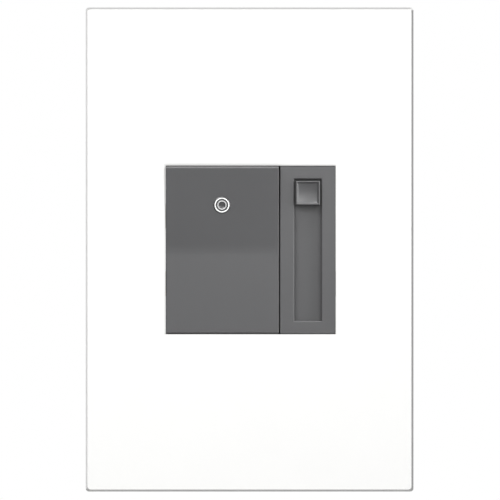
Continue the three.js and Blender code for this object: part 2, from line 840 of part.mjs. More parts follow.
function controlChip() {
  const pitch = 2.54;
  const body = block(around(0, 3.2), [0.6, 3.9], around(0, 4.9));
  const legs = [-1, 1].flatMap((side) =>
    [-1.5, -0.5, 0.5, 1.5].flatMap((i) => [
      block(side > 0 ? [3, 4.1] : [-4.1, -3], [1.8, 2.1], around(i * pitch, 0.35)),
      block(side > 0 ? [3.8, 4.1] : [-4.1, -3.8], [0, 2.1], around(i * pitch, 0.35)),
    ]),
  );
  return carve(body, { add: legs, cut: [rod(0.8, 3.5, 5, 0, 4.9, 12)] });
}

function addElectronics() {
  piece("heat_sink_plate", FINISH.aluminium, heatSinkPlate());
  piece("circuit_board", FINISH.board, circuitBoard());
  piece("locator_led", FINISH.lens, locatorLed(), dimmer, [lens.x, 0, lens.z]);
  const power = group(triac.x, 0, 0);
  piece("triac", FINISH.chip, triacBody(), power);
  piece("triac_screw", FINISH.steel, triacScrew(), power, [0, 0, triac.holeZ]);
  const coilPlace = group(choke.x, choke.y, choke.z);
  piece("choke_core", FINISH.ferrite, chokeCore(), coilPlace);
  piece("choke_winding", FINISH.copper, chokeWinding(), coilPlace);
  const board = group(0, onBoard, 0);
  piece("film_capacitor", FINISH.yellow, filmCapacitor(), board, [14.6, 0, 13]);
  piece("smoothing_capacitor", FINISH.sleeve, smoothingCapacitor(), board, [4.5, 0, -19]);
  piece("power_resistor_1", FINISH.resistor, axialPart(1.6, 8, 2.4), board, [-7.5, 0, -4]);
  piece("power_resistor_2", FINISH.resistor, axialPart(1.6, 8, 2.4), board, [-7.5, 0, -12]);
  piece("thermal_fuse", FINISH.sleeve, axialPart(1.9, 9, 2.8), board, [-8, 0, -19]);
  piece("control_chip", FINISH.chip, controlChip(), board, [7.5, 0, -5]);
}

// ---------------------------------------------------------------- rear housing and terminals

const housingScrew = { head: 2.7, headHeight: 1.6, shank: 1.4, counterbore: 3, tip: -1.2 };
const sides = [
  ["line", 1, -terminal.z],
  ["load", -1, -terminal.z],
  ["traveler", -1, terminal.z],
];

function rearHousing() {
  const halfWidth = housing.width / 2;
  const inside = rectangle(housing.width - 2 * housing.wall, housing.height - 2 * housing.wall, 1.5);
  const pocketFloor = halfWidth - terminal.depth;
  const floorFront = BACK.housing - housing.floor;
  const outer = slab(
    rectangle(housing.width, housing.height, housing.corner),
    FRONT.housing,
    BACK.housing,
    housing.edge,
  );
  const add = fourCorners(boss.x, boss.z).map(([x, z]) =>
    rod(boss.radius, FRONT.housing, floorFront + 0.5, x, z),
  );
  const cut = [slab(rectangle(26, 36, 1), BACK.housing - 0.4, BACK.housing + 1)];
  for (const [x, z] of fourCorners(boss.x, boss.z)) {
    cut.push(rod(1.65, FRONT.housing - 1, BACK.housing + 1, x, z, 14));
    cut.push(rod(housingScrew.counterbore, floorFront, BACK.housing + 1, x, z));
  }
  for (const [, side, z] of sides) {
    const span = (low, high) => (side > 0 ? [low, high] : [-high, -low]);
    add.push(
      block(
        span(pocketFloor - terminal.wall, halfWidth - 0.5),
        [terminal.front - terminal.wall, terminal.back + terminal.wall],
        around(z, terminal.half + terminal.wall),
      ),
    );
    cut.push(
      block(span(pocketFloor, halfWidth + 1), [terminal.front, terminal.back], around(z, terminal.half)),
      crossRod(2, ...span(pocketFloor - 0.8, pocketFloor + 1), terminalScrewY, z, 14),
      block(span(pocketFloor - 3, pocketFloor + 1), tailSlot, around(z, 1.8)),
      rod(1.3, terminal.back - 1, BACK.housing + 1, side * 20.1, z - 2.6, 14),
      rod(1.3, terminal.back - 1, BACK.housing + 1, side * 20.1, z + 2.6, 14),
    );
  }
  const hollowed = carve(outer, { cut: [slab(inside, FRONT.housing - 1, floorFront)] });
  return carve(hollowed, { add, cut });
}

const terminalScrewY = 19.7;
const tailSlot = [14, 15.8];

// The pieces of one terminal lie one on another outwards along +X.
const stack = { plate: 18.35, plateTop: 19.35, washer: 19.65, washerTop: 20.65, head: 20.95, top: 23.1, tip: 17.5 };

function terminalPlate() {
  const tail = around((tailSlot[0] + tailSlot[1]) / 2, 0.4);
  return carve(block([stack.plate, stack.plateTop], [14.4, 24.6], around(0, 4.2)), {
    add: [
      block([15, stack.plateTop], tail, around(0, 1.5)),
      block([15, 15.8], [onBoard, tail[1]], around(0, 1.5)),
    ],
    cut: [crossRod(1.75, 17, 20, terminalScrewY, 0, 14)],
  });
}

function clampWasher() {
  return carve(block([stack.washer, stack.washerTop], around(terminalScrewY, 4), around(0, 4)), {
    cut: [crossRod(2, 18, 22, terminalScrewY, 0, 14)],
  });
}

function terminalScrew() {
  const head = crossRod(3.4, stack.head, stack.top, terminalScrewY);
  const shank = crossRod(1.5, stack.tip, stack.head + 0.2, terminalScrewY, 0, 14);
  const across = block([stack.top - 0.9, stack.top + 1], around(terminalScrewY, 0.45), around(0, 4));
  const along = block([stack.top - 0.9, stack.top + 1], around(terminalScrewY, 2), around(0, 0.45));
  return carve(head, { add: [shank], cut: [across, along] });
}

function housingScrewShape() {
  const under = BACK.housing - housing.floor + GAP;
  const top = under + housingScrew.headHeight;
  const arms = [
    block(around(0, 1.6), [top - 0.8, top + 1], around(0, 0.35)),
    block(around(0, 0.35), [top - 0.8, top + 1], around(0, 1.6)),
  ];
  return carve(rod(housingScrew.head, under, top), {
    add: [rod(housingScrew.shank, housingScrew.tip, under + 0.2, 0, 0, 14)],
    cut: arms,
  });
}

function addHousing() {
  piece("rear_housing", FINISH.housing, rearHousing());
  fourCorners(boss.x, boss.z).forEach(([x, z], i) => {
    piece(`housing_screw_${i + 1}`, FINISH.steel, housingScrewShape(), dimmer, [x, 0, z]);
  });
  for (const [wire, side, z] of sides) {
    const place = group(0, 0, z);
    place.rotation.y = side > 0 ? 0 : Math.PI;
    piece(`terminal_plate_${wire}`, FINISH.brass, terminalPlate(), place);
    piece(`clamp_washer_${wire}`, FINISH.brass, clampWasher(), place);
    piece(`terminal_screw_${wire}`, wire === "line" ? FINISH.chip : FINISH.brass, terminalScrew(), place);
  }
}

// ---------------------------------------------------------------- the whole dimmer

addMounting();
addBezel();
addPaddle();
addPushSwitch();
addSlider();
addElectronics();
addHousing();

export default dimmer;
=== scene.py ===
"""Builds the finished look of a wall dimmer round its fixed CAD frame.

Metres. +Z is up, the face looks along -Y and the origin is on the wall, behind the face's centre.
"""

import math

import bmesh
import bpy
from mathutils import Matrix, Vector


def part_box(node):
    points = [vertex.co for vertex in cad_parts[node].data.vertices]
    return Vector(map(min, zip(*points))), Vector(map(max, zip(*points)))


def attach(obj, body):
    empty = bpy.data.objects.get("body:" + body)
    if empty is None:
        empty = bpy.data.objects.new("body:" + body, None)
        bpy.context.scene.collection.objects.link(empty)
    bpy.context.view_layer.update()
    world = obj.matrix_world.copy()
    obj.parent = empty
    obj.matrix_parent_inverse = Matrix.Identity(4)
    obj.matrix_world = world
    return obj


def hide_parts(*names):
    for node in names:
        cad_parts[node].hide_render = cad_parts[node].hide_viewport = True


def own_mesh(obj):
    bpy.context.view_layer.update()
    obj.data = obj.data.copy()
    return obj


bl_info = {
    "name": "Wall dimmer",
    "version": (1, 0, 0),
    "blender": (4, 5, 0),
    "location": "3D View > Sidebar > Dimmer",
    "description": "Dresses the frame of a paddle dimmer with its plate, face, slide control and finishes",
    "category": "Object",
}

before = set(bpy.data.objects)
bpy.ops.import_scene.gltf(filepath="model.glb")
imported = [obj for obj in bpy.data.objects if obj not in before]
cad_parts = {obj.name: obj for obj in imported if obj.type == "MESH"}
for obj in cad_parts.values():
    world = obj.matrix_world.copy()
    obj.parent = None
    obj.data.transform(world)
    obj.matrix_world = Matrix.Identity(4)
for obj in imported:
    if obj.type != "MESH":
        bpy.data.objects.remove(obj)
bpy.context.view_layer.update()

MM = 0.001
DEVICE, PADDLE, SLIDER = "device", "paddle", "slider"
TWO_PI = 2 * math.pi
CORNER_STEPS = 4  # steps round each corner of a rounded rectangle
SAME_POINT = 2e-6  # vertices closer than this are one
FLAT_ANGLE = math.radians(1.0)  # faces that meet at less than this are one flat

PLATE_WALL = 2.0 * MM  # thickness of the plate's skin and of its sides
PLATE_CORNER = 0.8 * MM
WINDOW_X, WINDOW_Z = 22.53 * MM, 22.33 * MM  # half sizes of the plate's window
WINDOW_CORNER = 0.15 * MM
FACE_HALF = 22.2 * MM  # half height of what stands in the window
COVER_DEPTH = 0.85 * MM  # from the panel's front back to where the bezel's core begins
PANEL_LEFT = 7.78 * MM  # the fixed panel's side next to the paddle
PANEL_CORNER = 0.12 * MM
SLOT_WIDTH, SLOT_HEIGHT = 7.2 * MM, 37.6 * MM
PADDLE_TOP, PADDLE_BOTTOM = 22.15 * MM, -22.25 * MM  # inside the window, also when pressed
PADDLE_END = 21.9 * MM  # past the walls of its hollow, so only the outer ends move
PADDLE_SLOPE = 1.9 / 20.4  # how far the paddle's front leans out for its height
PADDLE_MIDDLE = -6.9 * MM  # depth of the paddle's front at the face's middle
MARK_HEIGHT = 11.87 * MM  # of the press mark's middle
CAMERA_SHIFT = -0.17 * MM
FLOOR_HALF = 6.0


# ---------- settings


def offset(name, description, default, **limits):
    """A distance that may be negative, unless limits say otherwise."""
    return bpy.props.FloatProperty(
        name=name,
        description=description,
        default=default,
        subtype="DISTANCE",
        unit="LENGTH",
        precision=5,
        **limits,
    )


def length(name, description, default):
    """A distance of zero or more."""
    return offset(name, description, default, min=0.0)


def colour(name, description, default):
    return bpy.props.FloatVectorProperty(
        name=name,
        description=description,
        default=default,
        size=3,
        min=0.0,
        max=1.0,
        subtype="COLOR",
    )


def number(name, description, default, high=1.0e5):
    """A plain value from zero up."""
    return bpy.props.FloatProperty(
        name=name, description=description, default=default, min=0.0, max=high
    )


class DimmerSizes(bpy.types.PropertyGroup):
    plate_round: length("Plate edge", "Radius of the plate's front edge", 0.12 * MM)
    plate_draft: length("Plate draft", "How far the plate's sides lean in towards the front", 0.5 * MM)
    plate_shift_x: offset("Plate shift across", "Of the plate's outline, off the face's centre", -0.28 * MM)
    plate_shift_z: offset("Plate shift up", "Of the plate's outline, above the face's centre", 0.12 * MM)
    window_chamfer: length("Window chamfer", "Width of the chamfer round the plate's window", 0.40 * MM)
    window_top: length("Window top chamfer", "Width of that chamfer along the top", 0.52 * MM)
    window_depth: length("Window chamfer depth", "Depth of the chamfer round the window", 0.17 * MM)
    face_round: length("Panel edges", "Radius of the fixed panel's outer edges", 0.14 * MM)
    slot_round: length("Slot edges", "Radius of the edges round the slide's slot", 0.26 * MM)
    paddle_round: length("Paddle edges", "Radius of the paddle's front edges", 0.21 * MM)
    knob_round: length("Knob edges", "Radius of the slide knob's outer edges", 0.16 * MM)
    knob_rim: length("Knob rim", "Width of the flat rim round the slide knob's dish", 0.3 * MM)
    knob_wall: length("Knob wall", "Depth of the short wall round the slide knob's dish", 0.2 * MM)
    knob_dish: length("Knob dish", "How much deeper the dish is at its middle", 0.62 * MM)
    ring_radius: length("Mark radius", "Middle radius of the outer ring of the press mark", 1.825 * MM)
    ring_width: length("Mark width", "Width of the outer ring", 0.25 * MM)
    inner_ring_radius: length("Inner mark radius", "Middle radius of the inner ring", 1.1 * MM)
    inner_ring_width: length("Inner mark width", "Width of the inner ring", 0.22 * MM)


class DimmerColours(bpy.types.PropertyGroup):
    plate: colour("Plate", "Colour of the wall plate", (0.90, 0.90, 0.89))
    face: colour("Face", "Colour of the paddle, the panel and the knob", (0.057, 0.057, 0.059))
    ring: colour("Mark", "Colour of the press mark's outer ring", (0.72, 0.73, 0.72))
    inner_ring: colour("Inner mark", "Colour of the press mark's inner ring", (0.42, 0.42, 0.42))
    carrier: colour("Carrier", "Colour of the carrier frame", (0.052, 0.054, 0.058))
    housing: colour("Housing", "Colour of the rear housing", (0.02, 0.02, 0.022))
    steel: colour("Plated steel", "Colour of the zinc plated steel", (0.56, 0.57, 0.58))
    brass: colour("Brass", "Colour of the terminals", (0.60, 0.43, 0.17))
    aluminium: colour("Aluminium", "Colour of the heat sink", (0.68, 0.69, 0.70))
    ground: colour("Ground screw", "Colour of the ground screw", (0.02, 0.20, 0.07))
    floor: colour("Floor", "Colour of the studio floor", (0.80, 0.80, 0.79))


class DimmerStage(bpy.types.PropertyGroup):
    distance: length("Camera distance", "From the plate's front to the camera", 4.0)
    view_width: length("View width", "Width of the picture at the plate's front", 132.4 * MM)
    floor_drop: length("Floor drop", "From the middle of the plate down to the floor", 0.30)
    key_power: number("Key light", "Power of the upper left soft light, in watts", 9.6)
    side_power: number("Side light", "Power of the upper right soft light, in watts", 2.0)
    top_power: number("Top light", "Power of the face's light from above, in watts", 2.0)
    right_power: number("Right light", "Power of the face's light from the right, in watts", 1.7)
    front_power: number("Front light", "Power of the light round the camera, in watts", 1.05)
    back_power: number("Back light", "Power of the light behind the wall plane, in watts", 4.0)
    floor_power: number("Floor light", "Strength of the light that only the floor receives", 2.6)
    surround: number("Surround", "Brightness of the studio's walls", 0.10, 5.0)


# ---------- outlines and lofts


def rounded_rectangle(half_x, half_z, radius, centre=(0.0, 0.0)):
    """Points (x, z) round a rectangle with round corners, anticlockwise seen from the front."""
    points = []
    reach_x, reach_z = half_x - radius, half_z - radius
    for quarter, (sx, sz) in enumerate(((1, -1), (1, 1), (-1, 1), (-1, -1))):
        for step in range(CORNER_STEPS + 1):
            angle = math.radians(90 * (quarter - 1 + step / CORNER_STEPS))
            points.append(
                (
                    centre[0] + sx * reach_x + radius * math.cos(angle),
                    centre[1] + sz * reach_z + radius * math.sin(angle),
                )
            )
    return points


def circle(radius, sides):
    """Points (x, z) round a circle."""
    angles = [TWO_PI * i / sides for i in range(sides)]
    return [(radius * math.cos(a), radius * math.sin(a)) for a in angles]


def ring_of(bm, outline, y):
    """Vertices along an outline in x and z. y is one depth, or a function of x and z."""
    depth = y if callable(y) else (lambda x, z: y)
    return [bm.verts.new((x, depth(x, z), z)) for x, z in outline]


def bridge(bm, first, second, material=0):
    """Joins two rings of equal length."""
    count = len(first)
    for i in range(count):
        j = (i + 1) % count
        bm.faces.new((first[i], first[j], second[j], second[i])).material_index = material


def cap(bm, ring, material=0):
    """Closes a ring with one face."""
    bm.faces.new(ring).material_index = material


def loft(bm, rings, start=True, end=True):
    """Joins rings of equal length in order, and closes the first and the last."""
    for first, second in zip(rings, rings[1:]):
        bridge(bm, first, second)
    if start:
        cap(bm, rings[0])
    if end:
        cap(bm, rings[-1])


def tube_along(bm, points, radius, sides):
    """A round wire through points, closed at both ends, without twist."""
    rings = []
    normal = None
    for i, point in enumerate(points):
        before, after = points[max(i - 1, 0)], points[min(i + 1, len(points) - 1)]
        tangent = (after - before).normalized()
        if normal is None:
            normal = tangent.orthogonal().normalized()
        normal = (normal - tangent * normal.dot(tangent)).normalized()
        side = tangent.cross(normal)
        ring = circle(1.0, sides)
        rings.append([bm.verts.new(point + radius * (u * normal + v * side)) for u, v in ring])
    loft(bm, rings)


def box_in(bm, low, high):
    """A plain block between two corners, used as stock that is bevelled later."""
    made = bmesh.ops.create_cube(bm, size=1.0)["verts"]
    middle = (Vector(low) + Vector(high)) / 2
    for v in made:
        v.co = Vector(v.co[k] * (high[k] - low[k]) + middle[k] for k in range(3))


# ---------- pieces


def placed(name, data):
    """A new object in the scene."""
    made = bpy.data.objects.new(name, data)
    bpy.context.scene.collection.objects.link(made)
    return made


def add_piece(name, bm, body, materials, replaces=()):
    """Turns a mesh into a piece that rides on a body, smooth on its curves and flat on its flats."""
    bmesh.ops.recalc_face_normals(bm, faces=bm.faces)
    mesh = bpy.data.meshes.new(name)
    bm.to_mesh(mesh)
    bm.free()
    for polygon in mesh.polygons:
        polygon.use_smooth = True
    made = placed(name, mesh)
    for material in materials:
        mesh.materials.append(material)
    weighted_normals(made)
    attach(made, body)
    if replaces:
        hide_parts(*replaces)
    return made


def add_grey_piece(name, bm, body, replaces=()):
    """A piece in the plastic of the face."""
    add_piece(name, bm, body, [finish_named("face")], replaces)


def weighted_normals(made):
    """Shades large faces flat and small ones round."""
    modifier = made.modifiers.new("Weighted normals", "WEIGHTED_NORMAL")
    modifier.weight = 60
    modifier.keep_sharp = True


def copy_of_node(node):
    """The mesh of a CAD node as a new bmesh, with its flat faces made whole."""
    bm = bmesh.new()
    bm.from_mesh(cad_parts[node].data)
    bmesh.ops.remove_doubles(bm, verts=bm.verts, dist=SAME_POINT)
    bmesh.ops.dissolve_limit(
        bm,
        angle_limit=FLAT_ANGLE,
        use_dissolve_boundaries=False,
        verts=bm.verts,
        edges=bm.edges,
    )
    return bm


def bevel_edges(bm, wanted, width, segments=3, angle=20.0):
    """Rounds the sharp edges for which wanted(edge) is true."""
    limit = math.radians(angle)
    edges = [e for e in bm.edges if e.is_manifold and e.calc_face_angle(0.0) > limit and wanted(e)]
    bmesh.ops.bevel(
        bm,
        geom=edges,
        offset=width,
        offset_type="OFFSET",
        segments=segments,
        profile=0.5,
        affect="EDGES",
        clamp_overlap=True,
    )


def dress_node(node, material, width):
    """Gives a shown CAD node its finish and, where width is above zero, soft edges."""
    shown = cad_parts[node]
    shown.data.materials.clear()
    shown.data.materials.append(material)
    for polygon in shown.data.polygons:
        polygon.material_index = 0
        polygon.use_smooth = True
    weld = shown.modifiers.new("Weld", "WELD")
    weld.merge_threshold = SAME_POINT
    flats = shown.modifiers.new("Whole flats", "DECIMATE")
    flats.decimate_type = "DISSOLVE"
    flats.angle_limit = FLAT_ANGLE
    if width:
        edge = shown.modifiers.new("Soft edges", "BEVEL")
        edge.width = width
        edge.segments = 2
        edge.limit_method = "ANGLE"
        edge.angle_limit = math.radians(32)
        edge.use_clamp_overlap = True
    weighted_normals(shown)


# ---------- shared shader effects


class Nodes:
    """A small helper that adds and links nodes in one tree."""

    def __init__(self, tree):
        self.tree = tree
        self.column = 0

    def add(self, kind, inputs=None, **settings):
        """Adds a node. Each input is a value, or a socket that is linked to it."""
        node = self.tree.nodes.new(kind)
        node.location = (200 * self.column, -40 * (self.column % 5))
        self.column += 1
        for key, value in settings.items():
            setattr(node, key, value)
        for key, value in (inputs or {}).items():
            socket = node.inputs[key]
            if isinstance(value, bpy.types.NodeSocket):
                self.tree.links.new(value, socket)
            else:
                socket.default_value = value
        return node

    def math(self, operation, a, b, clamp=False):
        found = self.add("ShaderNodeMath", {0: a, 1: b}, operation=operation, use_clamp=clamp)
        return found.outputs[0]

    def centred(self, a, b, share):
        """A blend of two noises, moved so that it lies round zero."""
        rest = self.math("MULTIPLY", b, 1 - share)
        blend = self.math("ADD", self.math("MULTIPLY", a, share), rest)
        return self.math("SUBTRACT", blend, 0.5)

    def remap(self, value, low, high, to_low, to_high):
        found = self.add(
            "ShaderNodeMapRange",
            {"Value": value, "From Min": low, "From Max": high, "To Min": to_low, "To Max": to_high},
            clamp=True,
        )
        return found.outputs["Result"]

    def place(self):
        return self.add("ShaderNodeTexCoord").outputs["Object"]

    def noise(self, vector, scale, detail, roughness):
        found = self.add(
            "ShaderNodeTexNoise",
            {"Vector": vector, "Scale": scale, "Detail": detail, "Roughness": roughness},
        )
        return found.outputs["Fac"]


def effect_group(name, inputs, outputs):
    """A shader node group with named inputs (name, type, default) and outputs (name, type)."""
    tree = bpy.data.node_groups.new(name, "ShaderNodeTree")
    for label, kind, default in inputs:
        socket = tree.interface.new_socket(name=label, in_out="INPUT", socket_type=kind)
        socket.default_value = default
    for label, kind in outputs:
        tree.interface.new_socket(name=label, in_out="OUTPUT", socket_type=kind)
    nodes = Nodes(tree)
    return tree, nodes, nodes.add("NodeGroupInput").outputs, nodes.add("NodeGroupOutput").inputs


NUMBER, TINT = "NodeSocketFloat", "NodeSocketColor"


def build_moulded_skin():
    """The skin of moulded plastic: a fine texture, a slow cloud for gloss and a speckled colour."""
    tree, n, given, out = effect_group(
        "Moulded skin",
        [
            ("Colour", TINT, (0.5, 0.5, 0.5, 1)),
            ("Texture size", NUMBER, 0.25),
            ("Speckle", NUMBER, 0.06),
            ("Roughness", NUMBER, 0.4),
            ("Roughness change", NUMBER, 0.08),
        ],
        [("Colour", TINT), ("Roughness", NUMBER), ("Height", NUMBER)],
    )
    place = n.place()
    per_metre = n.math("DIVIDE", 1000.0, given["Texture size"])
    fine = n.noise(place, per_metre, 3.0, 0.6)
    slow = n.noise(place, 70.0, 3.0, 0.55)
    middle = n.noise(place, 900.0, 2.0, 0.5)
    shift = n.math("MULTIPLY", n.centred(fine, slow, 0.5), given["Speckle"])
    lit = n.math("ADD", 1.0, n.math("MULTIPLY", shift, 2.0))
    tinted = n.add("ShaderNodeVectorMath", {0: given["Colour"]}, operation="SCALE")
    tree.links.new(lit, tinted.inputs["Scale"])
    change = n.math("MULTIPLY", given["Roughness change"], 2.0)
    uneven = n.math("MULTIPLY", n.centred(slow, middle, 0.6), change)
    gloss = n.math("ADD", given["Roughness"], uneven, clamp=True)
    tree.links.new(tinted.outputs[0], out["Colour"])
    tree.links.new(gloss, out["Roughness"])
    tree.links.new(fine, out["Height"])
    return tree


def build_edge_wear():
    """How far a point is onto a rounded edge, broken up by noise: 0 on flats and 1 on worn edges."""
    tree, n, given, out = effect_group(
        "Edge wear",
        [("Width", NUMBER, 0.3 * MM), ("Break up", NUMBER, 0.5)],
        [("Edge", NUMBER), ("Worn", NUMBER)],
    )
    soft = n.add("ShaderNodeBevel", {"Radius": given["Width"]}, samples=4).outputs["Normal"]
    true = n.add("ShaderNodeNewGeometry").outputs["Normal"]
    alike = n.add("ShaderNodeVectorMath", {0: soft, 1: true}, operation="DOT_PRODUCT")
    edge = n.remap(alike.outputs["Value"], 0.995, 0.80, 0.0, 1.0)
    place = n.place()
    patches = n.noise(place, 420.0, 4.0, 0.65)
    holes = n.math("MULTIPLY", n.remap(patches, 0.42, 0.62, 0.0, 1.0), given["Break up"])
    worn = n.math("MULTIPLY", edge, n.math("SUBTRACT", 1.0, holes), clamp=True)
    tree.links.new(edge, out["Edge"])
    tree.links.new(worn, out["Worn"])
    return tree


def build_dust():
    """Dust that settles on what faces up, in soft patches: 0 where clean."""
    tree, n, given, out = effect_group("Settled dust", [("Amount", NUMBER, 0.2)], [("Dust", NUMBER)])
    normal = n.add("ShaderNodeNewGeometry").outputs["Normal"]
    upward = n.add("ShaderNodeSeparateXYZ", {0: normal}).outputs["Z"]
    place = n.place()
    patches = n.remap(n.noise(place, 240.0, 5.0, 0.7), 0.38, 0.72, 0.2, 1.0)
    facing = n.remap(upward, 0.3, 1.0, 0.0, 1.0)
    found = n.math("MULTIPLY", n.math("MULTIPLY", facing, patches), given["Amount"], clamp=True)
    tree.links.new(found, out["Dust"])
    return tree


def build_grain():
    """Fine lines drawn along one axis, such as rolling or brushing marks."""
    tree, n, given, out = effect_group(
        "Drawn grain",
        [("Across", NUMBER, 9000.0), ("Along", NUMBER, 260.0), ("Turn", NUMBER, 0.0)],
        [("Lines", NUMBER), ("Blotches", NUMBER)],
    )
    place = n.place()
    turned = {"Vector": place, "Angle": given["Turn"]}
    spin = n.add("ShaderNodeVectorRotate", turned, rotation_type="Y_AXIS")
    scales = {"X": given["Across"], "Y": given["Across"], "Z": given["Along"]}
    stretch = n.add("ShaderNodeCombineXYZ", scales)
    squeezed = n.add(
        "ShaderNodeVectorMath", {0: spin.outputs[0], 1: stretch.outputs[0]}, operation="MULTIPLY"
    ).outputs[0]
    lines = n.noise(squeezed, 1.0, 3.0, 0.6)
    blotches = n.noise(place, 320.0, 5.0, 0.6)
    tree.links.new(lines, out["Lines"])
    tree.links.new(blotches, out["Blotches"])
    return tree


EFFECTS = {}


def effect(n, name, inputs):
    """A node of one of the shared groups, each of which is built once."""
    builders = {
        "Moulded skin": build_moulded_skin,
        "Edge wear": build_edge_wear,
        "Settled dust": build_dust,
        "Drawn grain": build_grain,
    }
    if name not in EFFECTS:
        EFFECTS[name] = builders[name]()
    return n.add("ShaderNodeGroup", inputs, node_tree=EFFECTS[name]).outputs


# ---------- finishes


def new_material(name):
    """A material with one Principled shader and nothing else."""
    material = bpy.data.materials.new(name)
    material.use_nodes = True
    material.node_tree.nodes.clear()
    n = Nodes(material.node_tree)
    shader = n.add("ShaderNodeBsdfPrincipled")
    output = n.add("ShaderNodeOutputMaterial")
    material.node_tree.links.new(shader.outputs[0], output.inputs[0])
    return material, n, shader.inputs


def mix_colour(n, factor, first, second):
    """Mixes two colours, each a value or a socket."""
    node = n.add("ShaderNodeMix", data_type="RGBA")
    colours = [s for s in node.inputs if s.type == "RGBA"]
    for socket, value in ((node.inputs[0], factor), (colours[0], first), (colours[1], second)):
        if isinstance(value, bpy.types.NodeSocket):
            n.tree.links.new(value, socket)
        else:
            socket.default_value = value
    return next(s for s in node.outputs if s.type == "RGBA")


def bump(n, height, depth):
    inputs = {"Height": height, "Distance": depth, "Strength": 1.0}
    return n.add("ShaderNodeBump", inputs).outputs["Normal"]


def rgba(value):
    return (*value[:3], 1.0)


def lighter(value, factor):
    return tuple(min(1.0, c * factor) for c in value[:3])


def plastic(
    name,
    tint,
    roughness,
    texture_mm=0.25,
    depth_mm=0.004,
    speckle=0.06,
    change=0.08,
    edge=0.25,
    dust=0.12,
):
    """Moulded plastic with a fine texture, paler rubbed edges and a trace of dust."""
    material, n, shader = new_material(name)
    skin = effect(
        n,
        "Moulded skin",
        {
            "Colour": rgba(tint),
            "Texture size": texture_mm,
            "Speckle": speckle,
            "Roughness": roughness,
            "Roughness change": change,
        },
    )
    wear = effect(n, "Edge wear", {"Width": 0.25 * MM, "Break up": 0.6})
    settled = effect(n, "Settled dust", {"Amount": dust})
    rubbed = n.math("MULTIPLY", wear["Worn"], edge)
    pale = mix_colour(n, rubbed, skin["Colour"], rgba([c * 0.7 + 0.12 for c in tint[:3]]))
    dusty = mix_colour(n, settled["Dust"], pale, (0.42, 0.40, 0.37, 1.0))
    links = material.node_tree.links
    links.new(dusty, shader["Base Color"])
    duller = n.math("MULTIPLY", settled["Dust"], 0.4)
    links.new(n.math("ADD", skin["Roughness"], duller, clamp=True), shader["Roughness"])
    links.new(bump(n, skin["Height"], depth_mm * MM), shader["Normal"])
    shader["IOR"].default_value = 1.5
    return material


def metal(name, tint, roughness, turn=0.0, blotch=0.12, wear_to=None, coat=0.0):
    """Bare or plated metal with drawn lines, cloudy patches and brighter rubbed edges."""
    material, n, shader = new_material(name)
    grain = effect(n, "Drawn grain", {"Across": 9000.0, "Along": 260.0, "Turn": turn})
    wear = effect(n, "Edge wear", {"Width": 0.2 * MM, "Break up": 0.5})
    low, high = rgba(lighter(tint, 1 - blotch)), rgba(lighter(tint, 1 + blotch))
    clouded = mix_colour(n, n.remap(grain["Blotches"], 0.35, 0.65, 0.0, 1.0), low, high)
    worn = mix_colour(n, wear["Worn"], clouded, rgba(wear_to or lighter(tint, 1.25)))
    links = material.node_tree.links
    links.new(worn, shader["Base Color"])
    links.new(
        n.math(
            "ADD",
            n.remap(grain["Blotches"], 0.3, 0.7, roughness - 0.07, roughness + 0.07),
            n.remap(grain["Lines"], 0.3, 0.7, -0.05, 0.06),
            clamp=True,
        ),
        shader["Roughness"],
    )
    links.new(bump(n, grain["Lines"], 0.003 * MM), shader["Normal"])
    shader["Metallic"].default_value = 1.0
    shader["Coat Weight"].default_value = coat
    return material


FINISHES = {}
CLEAN = (0.001, 0.02, 0.05, 0.0, 0.0)  # depth, speckle and gloss change, no wear, no dust


